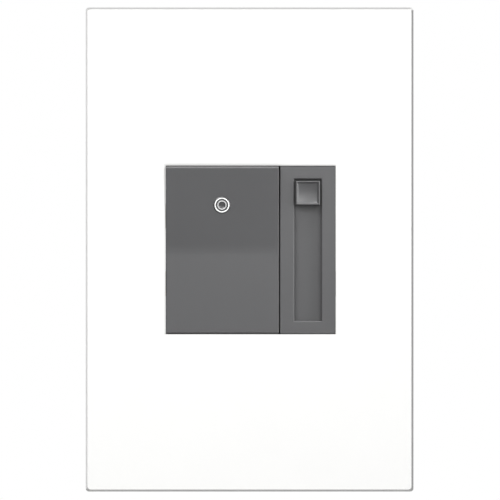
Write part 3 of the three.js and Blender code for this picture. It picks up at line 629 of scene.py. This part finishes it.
def finish_named(name):
    """Each finish is made the first time that a piece asks for it."""
    colours = bpy.context.scene.dimmer_colours
    makers = {
        "plate": lambda: plastic(
            "Satin white plastic", colours.plate, 0.30, 0.6, 0.0015, 0.01, 0.05, 0.0, 0.03
        ),
        "face": lambda: plastic(
            "Satin grey plastic", colours.face, 0.32, 0.16, 0.0018, 0.04, 0.05, 0.1, 0.04
        ),
        "ring": lambda: plastic("White light guide", colours.ring, 0.3, 0.3, *CLEAN),
        "shade": lambda: plastic("Smoked light guide", lighter(colours.face, 0.75), 0.3, 0.16, *CLEAN),
        "inner ring": lambda: plastic("Grey light guide", colours.inner_ring, 0.3, 0.3, *CLEAN),
        "carrier": lambda: plastic(
            "Dark carrier plastic", colours.carrier, 0.55, 0.35, 0.01, 0.2, 0.1, 0.5
        ),
        "housing": lambda: plastic(
            "Black thermoset", colours.housing, 0.50, 0.45, 0.014, 0.3, 0.14, 0.6, 0.3
        ),
        "acetal": lambda: plastic("Black acetal", (0.018, 0.018, 0.02), 0.42),
        "natural": lambda: plastic("Natural acetal", (0.70, 0.69, 0.64), 0.45, speckle=0.03),
        "fibre": lambda: plastic("Pressed fibre", (0.50, 0.40, 0.25), 0.85, 0.2, 0.03, 0.5, 0.1, 0.4),
        "board": lambda: plastic("Solder mask", (0.03, 0.12, 0.05), 0.30, 1.2, 0.01, 0.3),
        "phenolic": lambda: plastic("Phenolic board", (0.17, 0.08, 0.035), 0.5, 0.5, 0.01, 0.4),
        "ferrite": lambda: plastic("Sintered ferrite", (0.045, 0.045, 0.047), 0.8, 0.3, 0.03, 0.5),
        "yellow": lambda: plastic("Dipped film case", (0.60, 0.35, 0.05), 0.35, 1.5, 0.02, 0.1),
        "sleeve": lambda: plastic("Blue sleeve", (0.02, 0.035, 0.10), 0.25, 2.0, 0.02, 0.1),
        "resistor": lambda: plastic("Resistor coating", (0.38, 0.46, 0.34), 0.6, 0.6, 0.02, 0.2),
        "chip": lambda: plastic("Epoxy case", (0.014, 0.014, 0.015), 0.55, 0.4, 0.02, 0.3),
        "lamp": lambda: plastic("Clear epoxy", (0.80, 0.84, 0.86), 0.10, 2.0, 0.002, 0.02),
        "steel": lambda: metal("Zinc plated steel", colours.steel, 0.34, wear_to=(0.70, 0.70, 0.70)),
        "screw": lambda: metal("Plated screw steel", lighter(colours.steel, 1.05), 0.26),
        "spring": lambda: metal("Drawn spring wire", (0.46, 0.46, 0.47), 0.28),
        "aluminium": lambda: metal("Rolled aluminium", colours.aluminium, 0.38, math.pi / 2),
        "brass": lambda: metal("Stamped brass", colours.brass, 0.30, blotch=0.2),
        "copper": lambda: metal("Enamelled copper", (0.60, 0.26, 0.12), 0.25, coat=0.6),
        "ground": lambda: metal("Green dyed plating", colours.ground, 0.34, wear_to=(0.30, 0.42, 0.30)),
        "dark screw": lambda: metal(
            "Blackened steel", (0.045, 0.045, 0.048), 0.36, wear_to=(0.35, 0.35, 0.35)
        ),
    }
    if name not in FINISHES:
        FINISHES[name] = makers[name]()
    return FINISHES[name]


# ---------- the wall plate


def plate_profile(sizes, low, high):
    """Rings over the plate's outside from its rear rim to the front, and the sizes of its inside."""
    half_x, half_z = high.x, high.z
    front, edge = low.y, sizes.plate_round
    rings = [(0.0, high.y - 0.15 * MM), (0.0, front * 0.8), (sizes.plate_draft, front + 2 * edge)]
    for step in range(1, 5):
        angle = math.radians(22.5 * step)
        inset = sizes.plate_draft + edge * (1 - math.cos(angle))
        rings.append((inset, front + edge * (1 - math.sin(angle))))
    outer = [(half_x - d, half_z - d, y, PLATE_CORNER) for d, y in rings]
    return outer, (half_x - PLATE_WALL, half_z - PLATE_WALL, front + PLATE_WALL, high.y)


def window_profile(sizes, front):
    """Rings from the plate's front through the window: (half x, half z, y, lift)."""
    soft = 0.10 * MM
    steps = [(1.0, soft, 0.0), (1.0, 0.0, 0.08), (0.93, 0.0, 0.15), (0.1, 0.0, 0.88)]
    rings = []
    for share, extra, depth in steps:
        side, top = share * sizes.window_chamfer + extra, share * sizes.window_top + extra
        y = front + depth * sizes.window_depth
        rings.append((WINDOW_X + side, WINDOW_Z + (side + top) / 2, y, (top - side) / 2))
    rings.append((WINDOW_X, WINDOW_Z, front + 1.3 * sizes.window_depth, 0.0))
    rings.append((WINDOW_X, WINDOW_Z, front + PLATE_WALL, 0.0))
    return rings


def build_wall_plate():
    """The hollow plate, with its window central on the face and its outline a little off it."""
    sizes = bpy.context.scene.dimmer_sizes
    low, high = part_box("wall_plate")
    outer, (inner_x, inner_z, skin_back, rim) = plate_profile(sizes, low, high)
    shift = (sizes.plate_shift_x, sizes.plate_shift_z)
    window = window_profile(sizes, low.y)
    inside = [
        (WINDOW_X + 1.2 * MM, WINDOW_Z + 1.2 * MM, skin_back, WINDOW_CORNER),
        (inner_x - 0.3 * MM, inner_z - 0.3 * MM, skin_back, 1.0 * MM),
        (inner_x, inner_z, skin_back + 0.3 * MM, 1.0 * MM),
        (inner_x, inner_z, rim, 1.0 * MM),
        (high.x - 0.15 * MM, high.z - 0.15 * MM, rim, PLATE_CORNER),
    ]
    bm = bmesh.new()
    middles = [shift] * len(outer) + [(0.0, lift) for *_, lift in window] + [(0.0, 0.0)]
    middles += [shift] * (len(inside) - 1)
    window = [(half_x, half_z, y, WINDOW_CORNER) for half_x, half_z, y, _ in window]
    rings = [
        ring_of(bm, rounded_rectangle(half_x, half_z, corner, middle), y)
        for (half_x, half_z, y, corner), middle in zip(outer + window + inside, middles)
    ]
    loft(bm, rings, start=False, end=False)
    bridge(bm, rings[-1], rings[0])
    add_piece("wall_plate_shell", bm, DEVICE, [finish_named("plate")], ["wall_plate"])
    build_plate_clips(skin_back - 0.05 * MM)


def build_plate_clips(root):
    """Four spring arms that hook behind the edges of the carrier."""
    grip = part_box("carrier_frame")[1].x + 0.5 * MM
    outside, hook = grip + 1.5 * MM, grip - 0.9 * MM
    tip, catch = -0.9 * MM, -1.55 * MM
    section = [
        (grip, root),
        (outside, root),
        (outside, tip),
        (grip, tip),
        (hook, catch + 0.1 * MM),
        (hook, catch),
        (grip, catch),
    ]
    half_width = 5 * MM
    bm = bmesh.new()
    for side in (-1, 1):
        for middle in (-38 * MM, 38 * MM):
            ends = (middle - half_width, middle + half_width)
            loft(bm, [[bm.verts.new((side * x, y, z)) for x, y in section] for z in ends])
    bevel_edges(bm, lambda e: True, 0.12 * MM, 2)
    add_piece("plate_clips", bm, DEVICE, [finish_named("plate")])


# ---------- the face


def build_face():
    """The bezel's core, the panel cover with the slide's slot, and the bed of the slide's track."""
    bm = copy_of_node("front_bezel")
    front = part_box("front_bezel")[0].y
    seam = front + COVER_DEPTH
    for v in bm.verts:
        if v.co.y < seam:
            v.co.y = seam
            v.co.z = max(-FACE_HALF, min(FACE_HALF, v.co.z))
    bevel_edges(bm, is_ear, 0.1 * MM, 2)
    add_grey_piece("face_core", bm, DEVICE, ["front_bezel"])
    build_panel_cover(front, seam)

    low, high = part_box("track_floor")
    bm = bmesh.new()
    box_in(bm, low, high)
    bevel_edges(bm, lambda e: True, 0.12 * MM, 2)
    add_grey_piece("track_bed", bm, DEVICE, ["track_floor"])


def is_ear(edge):
    """True for the edges of the hinge ears, in front of the tray behind the paddle's foot."""
    return all(
        -5.3 * MM < v.co.y < -3.1 * MM and v.co.x < 7 * MM and v.co.z < -18 * MM
        for v in edge.verts
    )


def rounding(radius, steps=4):
    """Insets and depths down a quarter round, from the flat front to the side."""
    angles = [math.radians(90 * step / steps) for step in range(steps + 1)]
    return [(radius * (1 - math.sin(a)), radius * (1 - math.cos(a))) for a in angles]


def build_panel_cover(front, seam):
    """The flat panel to the right of the paddle, rounded on its outside and round the slot."""
    sizes = bpy.context.scene.dimmer_sizes
    bezel_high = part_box("front_bezel")[1]
    knob_low, knob_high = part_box("slider_knob")
    middle = ((PANEL_LEFT + bezel_high.x) / 2, 0.0)
    half_x, half_z = (bezel_high.x - PANEL_LEFT) / 2, FACE_HALF
    slot_middle = ((knob_low.x + knob_high.x) / 2, 0.0)
    slot_x, slot_z = SLOT_WIDTH / 2, SLOT_HEIGHT / 2
    rings = [(middle, half_x, half_z, seam)]
    for inset, depth in reversed(rounding(sizes.face_round)):
        rings.append((middle, half_x - inset, half_z - inset, front + depth))
    for inset, depth in rounding(sizes.slot_round):
        rings.append((slot_middle, slot_x + inset, slot_z + inset, front + depth))
    rings.append((slot_middle, slot_x, slot_z, seam))
    bm = bmesh.new()
    loops = [ring_of(bm, rounded_rectangle(hx, hz, PANEL_CORNER, at), y) for at, hx, hz, y in rings]
    loft(bm, loops, start=False, end=False)
    bridge(bm, loops[-1], loops[0])
    add_grey_piece("panel_cover", bm, DEVICE)


# ---------- the paddle


def build_paddle():
    """The paddle with rounded front edges and its ends drawn in from the window."""
    sizes = bpy.context.scene.dimmer_sizes
    bm = copy_of_node("paddle")
    low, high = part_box("paddle")
    for v in bm.verts:
        if v.co.z > PADDLE_END:
            v.co.z -= high.z - PADDLE_TOP
        elif v.co.z < -PADDLE_END:
            v.co.z -= low.z - PADDLE_BOTTOM
    low.z, high.z = PADDLE_BOTTOM, PADDLE_TOP

    def on_outer_edge(edge):
        """True for edges round the paddle's front, not those of its hollow or the mark's hole."""
        for v in edge.verts:
            at_side = min(abs(v.co.x - low.x), abs(v.co.x - high.x)) < 0.02 * MM
            at_end = v.co.z < low.z + 0.4 * MM or v.co.z > high.z - 0.4 * MM
            if v.co.y > -5.6 * MM or not (at_side or at_end):
                return False
        return True

    bevel_edges(bm, on_outer_edge, sizes.paddle_round, 4, 15.0)
    add_grey_piece("paddle_shell", bm, PADDLE, ["paddle"])


def build_press_mark():
    """The light guide: a turned piece set in the leaning paddle, with two pale rings."""
    sizes = bpy.context.scene.dimmer_sizes
    low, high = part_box("locator_lens")
    depth = PADDLE_MIDDLE - PADDLE_SLOPE * MARK_HEIGHT
    middle = Vector(((low.x + high.x) / 2, depth, MARK_HEIGHT))
    raised, sunk = -0.03 * MM, 0.03 * MM
    outer_in = sizes.ring_radius - sizes.ring_width / 2
    outer_out = sizes.ring_radius + sizes.ring_width / 2
    inner_in = sizes.inner_ring_radius - sizes.inner_ring_width / 2
    inner_out = sizes.inner_ring_radius + sizes.inner_ring_width / 2
    bright, grey, dim = 0, 1, 2
    soft = 0.03 * MM
    profile = [
        (0.25 * MM, sunk, grey),
        (inner_in - soft, sunk, grey),
        (inner_in, raised, dim),
        (inner_out, raised, dim),
        (inner_out + soft, sunk, grey),
        (outer_in - soft, sunk, grey),
        (outer_in, raised, bright),
        (outer_out, raised, bright),
        (outer_out + soft, 0.02 * MM, grey),
        (2.22 * MM, 0.02 * MM, grey),
        (2.25 * MM, 0.06 * MM, grey),
        (2.25 * MM, 1.7 * MM, bright),
        (2.95 * MM, 1.7 * MM, bright),
        (2.95 * MM, 2.4 * MM, bright),
        (1.2 * MM, 2.4 * MM, bright),
        (1.2 * MM, 4.2 * MM, bright),
    ]
    bm = bmesh.new()
    sides = 64
    rings = [ring_of(bm, circle(radius, sides), y) for radius, y, _ in profile]
    cap(bm, rings[0], grey)
    for (first, second), (_, _, material) in zip(zip(rings, rings[1:]), profile[1:]):
        bridge(bm, first, second, material)
    cap(bm, rings[-1], bright)
    turn = Matrix.Translation(middle) @ Matrix.Rotation(math.atan(PADDLE_SLOPE), 4, "X")
    bmesh.ops.transform(bm, matrix=turn, verts=bm.verts)
    finishes = [finish_named("ring"), finish_named("shade"), finish_named("inner ring")]
    add_piece("press_mark", bm, PADDLE, finishes, ["locator_lens"])


# ---------- the slide knob


def knob_front(sizes, half, front):
    """A function that gives the depth of the knob's front at (u, v) from its middle."""
    edge, bowl = sizes.knob_round, half - sizes.knob_rim

    def depth(u, v):
        to_edge = half - max(abs(u), abs(v))
        if to_edge < edge:
            return front + edge - math.sqrt(max(edge**2 - (edge - to_edge) ** 2, 0.0))
        inside = bowl - max(abs(u), abs(v))
        if inside <= 0:
            return front
        wall = min(inside / (0.8 * sizes.knob_wall), 1.0)
        hollow = 1 - (u**2 + v**2) / (2 * bowl**2)
        return front + wall * (sizes.knob_wall + sizes.knob_dish * hollow)

    return depth


def knob_stations(sizes, half):
    """Where the knob's front grid has its lines, close together where it curves."""
    edge, bowl = sizes.knob_round, half - sizes.knob_rim
    outer = [half - edge * share for share in (0.0, 0.06, 0.2, 0.5, 1.0)]
    wall = [bowl, bowl - 0.4 * sizes.knob_wall, bowl - 0.8 * sizes.knob_wall]
    steps = 7
    inner = [wall[-1] * (1 - i / steps) for i in range(1, steps)]
    positive = outer + wall + inner
    return [-p for p in positive] + [0.0] + positive[::-1]


def build_slider_knob():
    """The knob's cap: a grid over its dished front, closed by a flat back, and then its shoe."""
    sizes = bpy.context.scene.dimmer_sizes
    low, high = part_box("slider_knob")
    middle_x, middle_z = (low.x + high.x) / 2, (low.z + high.z) / 2
    half = (high.z - low.z) / 2
    flange_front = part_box("front_bezel")[0].y + 1.2 * MM
    flange_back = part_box("track_floor")[0].y - 0.3 * MM
    depth = knob_front(sizes, half, low.y)
    stations = knob_stations(sizes, half)
    bm = bmesh.new()
    grid = [
        [bm.verts.new((middle_x + u, depth(u, v), middle_z + v)) for v in stations]
        for u in stations
    ]
    last = len(stations) - 1
    for i in range(last):
        for j in range(last):
            bm.faces.new((grid[i][j], grid[i + 1][j], grid[i + 1][j + 1], grid[i][j + 1]))
    border = [grid[i][0] for i in range(last)] + [grid[last][j] for j in range(last)]
    border += [grid[last - i][last] for i in range(last)] + [grid[0][last - j] for j in range(last)]
    back = [bm.verts.new((v.co.x, flange_front + 0.02 * MM, v.co.z)) for v in border]
    bridge(bm, border, back)
    cap(bm, back)
    add_grey_piece("knob_cap", bm, SLIDER, ["slider_knob"])
    depths = (flange_front, flange_back, high.y)
    build_knob_shoe(middle_x, middle_z, half, depths, (high.x - low.x) / 2)


def build_knob_shoe(middle_x, middle_z, half, depths, reach):
    """The flange that slides behind the panel and the two legs that carry the knob past the track."""
    flange_front, flange_back, leg_back = depths
    inset = 0.04 * MM  # keeps the legs' sides off the flange's
    bm = bmesh.new()
    box_in(
        bm,
        (middle_x - reach, flange_front, middle_z - half),
        (middle_x + reach, flange_back, middle_z + half),
    )
    for side in (-1, 1):
        inner, outer = sorted((side * (reach - 0.7 * MM), side * (reach - inset)))
        box_in(
            bm,
            (middle_x + inner, flange_back - 0.15 * MM, middle_z - half + inset),
            (middle_x + outer, leg_back, middle_z + half - inset),
        )
    bevel_edges(bm, lambda e: True, 0.08 * MM, 2)
    add_grey_piece("knob_shoe", bm, SLIDER)


# ---------- springs


def coil(name, node, radius, wire, turns, front, back, joint, keep):
    """A wire spring with closed ends, wound from its front to its back."""
    low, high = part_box(node)
    centre_x, centre_z = (low.x + high.x) / 2, (low.z + high.z) / 2
    steps = int(turns * 20)
    points = []
    for step in range(steps + 1):
        share = step / steps
        angle = TWO_PI * turns * share
        eased = min(max((share - 0.12) / 0.76, 0.0), 1.0)
        along = front + (back - front) * (0.5 * share + 0.5 * eased)
        x, z = centre_x + radius * math.cos(angle), centre_z + radius * math.sin(angle)
        points.append(Vector((x, along, z)))
    bm = bmesh.new()
    tube_along(bm, points, wire, 8)
    made = add_piece(name, bm, DEVICE, [finish_named("spring")], [node])
    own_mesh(made)


def build_springs():
    """The two springs behind the paddle and the one in the button switch."""
    paddle = (1.6 * MM, 0.2 * MM, 5.5, -6.6 * MM, -3.3 * MM, "paddle_press", 0.48)
    button = (1.3 * MM, 0.15 * MM, 4, 4.5 * MM, 6.2 * MM, "plunger_travel", 0.34)
    for side in ("left", "right"):
        coil(f"return_spring_{side}", f"paddle_spring_{side}", *paddle)
    coil("button_spring", "switch_spring", *button)


# ---------- nodes that keep their CAD shape


def dress(groups):
    """Dresses each group of nodes: (finish, edge width in millimetres, nodes)."""
    for finish, width, nodes in groups:
        for node in nodes:
            dress_node(node, finish_named(finish), width * MM)


MOUNTING = [
    ("carrier", 0.15, ["carrier_frame"]),
    ("steel", 0.10, ["mounting_strap"]),
    ("screw", 0.08, ["box_screw_top", "box_screw_bottom"]),
    ("fibre", 0.06, ["screw_retainer_top", "screw_retainer_bottom"]),
    ("ground", 0.10, ["ground_screw"]),
]
CONTROLS = [
    ("acetal", 0.08, ["slider_carriage", "pot_lever", "switch_body"]),
    ("natural", 0.08, ["switch_plunger"]),
    ("copper", 0.03, ["pot_wiper"]),
    ("steel", 0.06, ["pot_case"]),
    ("phenolic", 0.04, ["pot_track_board"]),
    ("screw", 0.05, ["paddle_hinge_pin", "bezel_screw_1", "bezel_screw_2"]),
]
ELECTRONICS = [
    ("aluminium", 0.10, ["heat_sink_plate"]),
    ("board", 0.05, ["circuit_board"]),
    ("lamp", 0.05, ["locator_led"]),
    ("chip", 0.08, ["triac", "control_chip"]),
    ("screw", 0.06, ["triac_screw"]),
    ("ferrite", 0.2, ["choke_core"]),
    ("copper", 0.0, ["choke_winding"]),
    ("yellow", 0.12, ["film_capacitor"]),
    ("sleeve", 0.1, ["smoothing_capacitor"]),
    ("sleeve", 0.0, ["thermal_fuse"]),
    ("resistor", 0.08, ["power_resistor_1", "power_resistor_2"]),
]
WIRES = ("line", "load", "traveler")
HOUSING = [
    ("housing", 0.25, ["rear_housing"]),
    ("screw", 0.10, [f"housing_screw_{i}" for i in (1, 2, 3, 4)]),
]
TERMINALS = [
    ("brass", 0.10, [f"{part}_{w}" for part in ("terminal_plate", "clamp_washer") for w in WIRES]),
    ("brass", 0.14, ["terminal_screw_load", "terminal_screw_traveler"]),
    ("dark screw", 0.14, ["terminal_screw_line"]),
]


# ---------- the stage


def only_for(light, pieces):
    """Makes a light fall on the named pieces alone."""
    receivers = bpy.data.collections.new(light.name + " receivers")
    for piece in pieces:
        receivers.objects.link(piece)
    light.light_linking.receiver_collection = receivers


def area_light(name, place, target, size, power):
    """A soft light that the camera doesn't see."""
    data = bpy.data.lights.new(name, "AREA")
    data.shape = "RECTANGLE"
    data.size, data.size_y = size
    data.energy = power
    made = placed(name, data)
    made.location = place
    made.rotation_euler = (Vector(target) - Vector(place)).to_track_quat("-Z", "Y").to_euler()
    made.visible_camera = False
    return made


def build_world(surround):
    """White to the camera, and a grey room to everything that reflects it."""
    world = bpy.data.worlds.new("Studio")
    bpy.context.scene.world = world
    world.use_nodes = True
    world.node_tree.nodes.clear()
    n = Nodes(world.node_tree)
    seen = n.add("ShaderNodeLightPath").outputs["Is Camera Ray"]
    room = n.add("ShaderNodeBackground", {"Color": (1, 1, 1, 1), "Strength": surround}).outputs[0]
    white = n.add("ShaderNodeBackground", {"Color": (1, 1, 1, 1), "Strength": 1.0}).outputs[0]
    mixed = n.add("ShaderNodeMixShader", {0: seen, 1: room, 2: white}).outputs[0]
    n.add("ShaderNodeOutputWorld", {"Surface": mixed})


def build_floor(stage, tint):
    """A plain floor that is only there when it is looked at from above."""
    bm = bmesh.new()
    outline = rounded_rectangle(FLOOR_HALF, FLOOR_HALF, 0.5)
    cap(bm, [bm.verts.new((x, y, -stage.floor_drop)) for x, y in outline])
    mesh = bpy.data.meshes.new("studio_floor")
    bm.to_mesh(mesh)
    bm.free()
    floor = placed("studio_floor", mesh)
    material = plastic("Studio floor", tint, 0.8, 4.0, 0.01, 0.02, 0.05, 0.0, 0.0)
    n = Nodes(material.node_tree)
    kinds = {node.type: node for node in material.node_tree.nodes}
    output, shader = kinds["OUTPUT_MATERIAL"], kinds["BSDF_PRINCIPLED"]
    seen = n.add("ShaderNodeLightPath").outputs["Is Camera Ray"]
    dull = n.add("ShaderNodeBsdfDiffuse", {"Color": (0.3, 0.3, 0.3, 1.0)}).outputs[0]
    above = n.add("ShaderNodeMixShader", {0: seen, 1: dull, 2: shader.outputs[0]}).outputs[0]
    beneath = n.add("ShaderNodeNewGeometry").outputs["Backfacing"]
    clear = n.add("ShaderNodeBsdfTransparent").outputs[0]
    either = n.add("ShaderNodeMixShader", {0: beneath, 1: above, 2: clear}).outputs[0]
    material.node_tree.links.new(either, output.inputs[0])
    mesh.materials.append(material)
    return floor


def light_floor(floor, strength):
    """A broad light that only the floor receives, so that it stays pale out to its edge."""
    data = bpy.data.lights.new("Floor light", "SUN")
    data.energy = strength
    data.angle = math.radians(60)
    made = placed("Floor light", data)
    made.rotation_euler = (math.radians(-14), math.radians(10), 0.0)
    only_for(made, [floor])


def build_camera(stage):
    """A camera straight in front of the face."""
    data = bpy.data.cameras.new("Camera")
    data.sensor_width = 36.0
    data.lens = data.sensor_width * stage.distance / stage.view_width
    data.clip_end = 50.0
    camera = placed("Camera", data)
    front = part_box("wall_plate")[0].y
    camera.location = (CAMERA_SHIFT, front - stage.distance, 0.0)
    camera.rotation_euler = (math.radians(90), 0.0, 0.0)
    bpy.context.scene.camera = camera


FACE_PIECES = ("face_core", "panel_cover", "track_bed", "paddle_shell", "press_mark", "knob_cap")


def build_stage():
    """The world, the floor, the camera and the lights."""
    scene = bpy.context.scene
    stage = scene.dimmer_stage
    scene.view_settings.view_transform = "Standard"
    build_world(stage.surround)
    light_floor(build_floor(stage, scene.dimmer_colours.floor), stage.floor_power)
    build_camera(stage)
    target = (0.0, -7 * MM, 0.0)
    area_light("Key", (-0.42, -0.88, 0.70), target, (0.50, 0.42), stage.key_power)
    area_light("Side", (0.34, -0.78, 0.36), target, (0.30, 0.30), stage.side_power)
    area_light("Front", (0.0, -0.60, 0.16), target, (0.5, 0.32), stage.front_power)
    top = area_light("Top", (0.0, -0.05, 0.35), target, (0.4, 0.3), stage.top_power)
    right = area_light("Right", (0.34, -0.13, 0.06), target, (0.26, 0.30), stage.right_power)
    for light in (top, right):
        only_for(light, [bpy.data.objects[name] for name in FACE_PIECES])
    rear = (0.0, 15 * MM, 0.0)
    area_light("Back", (0.55, 0.9, 0.6), rear, (0.7, 0.7), stage.back_power)
    area_light("Back left", (-0.7, 0.8, 0.25), rear, (0.5, 0.9), stage.back_power * 0.6)


# ---------- operators and panel


class DimmerOperator:
    bl_options = {"REGISTER", "UNDO"}


class DIMMER_OT_wall_plate(DimmerOperator, bpy.types.Operator):
    """Build the screwless wall plate and its clips"""

    bl_idname = "dimmer.wall_plate"
    bl_label = "Wall plate"

    def execute(self, context):
        build_wall_plate()
        return {"FINISHED"}


class DIMMER_OT_face(DimmerOperator, bpy.types.Operator):
    """Build the bezel's core, the panel cover and the bed of the slide's track"""

    bl_idname = "dimmer.face"
    bl_label = "Face"

    def execute(self, context):
        build_face()
        return {"FINISHED"}


class DIMMER_OT_paddle(DimmerOperator, bpy.types.Operator):
    """Build the push paddle"""

    bl_idname = "dimmer.paddle"
    bl_label = "Paddle"

    def execute(self, context):
        build_paddle()
        return {"FINISHED"}


class DIMMER_OT_press_mark(DimmerOperator, bpy.types.Operator):
    """Build the ringed light guide in the paddle"""

    bl_idname = "dimmer.press_mark"
    bl_label = "Press mark"

    def execute(self, context):
        build_press_mark()
        return {"FINISHED"}


class DIMMER_OT_slider_knob(DimmerOperator, bpy.types.Operator):
    """Build the dished knob of the slide control and its shoe"""

    bl_idname = "dimmer.slider_knob"
    bl_label = "Slide knob"

    def execute(self, context):
        build_slider_knob()
        return {"FINISHED"}


class DIMMER_OT_springs(DimmerOperator, bpy.types.Operator):
    """Wind the return springs"""

    bl_idname = "dimmer.springs"
    bl_label = "Springs"

    def execute(self, context):
        build_springs()
        return {"FINISHED"}


class DIMMER_OT_mounting(DimmerOperator, bpy.types.Operator):
    """Finish the carrier, the strap and their screws"""

    bl_idname = "dimmer.mounting"
    bl_label = "Mounting"

    def execute(self, context):
        dress(MOUNTING)
        return {"FINISHED"}


class DIMMER_OT_controls(DimmerOperator, bpy.types.Operator):
    """Finish the parts that the paddle and the knob work"""

    bl_idname = "dimmer.controls"
    bl_label = "Controls"

    def execute(self, context):
        dress(CONTROLS)
        return {"FINISHED"}


class DIMMER_OT_electronics(DimmerOperator, bpy.types.Operator):
    """Finish the heat sink and what is on the board"""

    bl_idname = "dimmer.electronics"
    bl_label = "Electronics"

    def execute(self, context):
        dress(ELECTRONICS)
        return {"FINISHED"}


class DIMMER_OT_housing(DimmerOperator, bpy.types.Operator):
    """Finish the rear housing and its screws"""

    bl_idname = "dimmer.housing"
    bl_label = "Housing"

    def execute(self, context):
        dress(HOUSING)
        return {"FINISHED"}


class DIMMER_OT_terminals(DimmerOperator, bpy.types.Operator):
    """Finish the side terminals"""

    bl_idname = "dimmer.terminals"
    bl_label = "Terminals"

    def execute(self, context):
        dress(TERMINALS)
        return {"FINISHED"}


class DIMMER_OT_stage(DimmerOperator, bpy.types.Operator):
    """Set the floor, the lights and the camera"""

    bl_idname = "dimmer.stage"
    bl_label = "Stage"

    def execute(self, context):
        build_stage()
        return {"FINISHED"}


OPERATORS = [
    DIMMER_OT_wall_plate,
    DIMMER_OT_face,
    DIMMER_OT_paddle,
    DIMMER_OT_press_mark,
    DIMMER_OT_slider_knob,
    DIMMER_OT_springs,
    DIMMER_OT_mounting,
    DIMMER_OT_controls,
    DIMMER_OT_electronics,
    DIMMER_OT_housing,
    DIMMER_OT_terminals,
    DIMMER_OT_stage,
]


class DIMMER_PT_build(bpy.types.Panel):
    bl_label = "Dimmer"
    bl_idname = "DIMMER_PT_build"
    bl_space_type = "VIEW_3D"
    bl_region_type = "UI"
    bl_category = "Dimmer"

    def draw(self, context):
        for made in OPERATORS:
            self.layout.operator(made.bl_idname)
        for group in GROUPS:
            settings = getattr(context.scene, group)
            box = self.layout.box()
            for name in settings.__annotations__:
                box.prop(settings, name)


GROUPS = {
    "dimmer_sizes": DimmerSizes,
    "dimmer_colours": DimmerColours,
    "dimmer_stage": DimmerStage,
}


def register():
    for name, group in GROUPS.items():
        bpy.utils.register_class(group)
        setattr(bpy.types.Scene, name, bpy.props.PointerProperty(type=group))
    for made in (*OPERATORS, DIMMER_PT_build):
        bpy.utils.register_class(made)


def unregister():
    for made in (DIMMER_PT_build, *reversed(OPERATORS)):
        bpy.utils.unregister_class(made)
    for name, group in reversed(GROUPS.items()):
        delattr(bpy.types.Scene, name)
        bpy.utils.unregister_class(group)


def main():
    register()
    for made in OPERATORS:
        getattr(bpy.ops.dimmer, made.bl_idname.split(".")[1])()


if __name__ == "__main__":
    main()
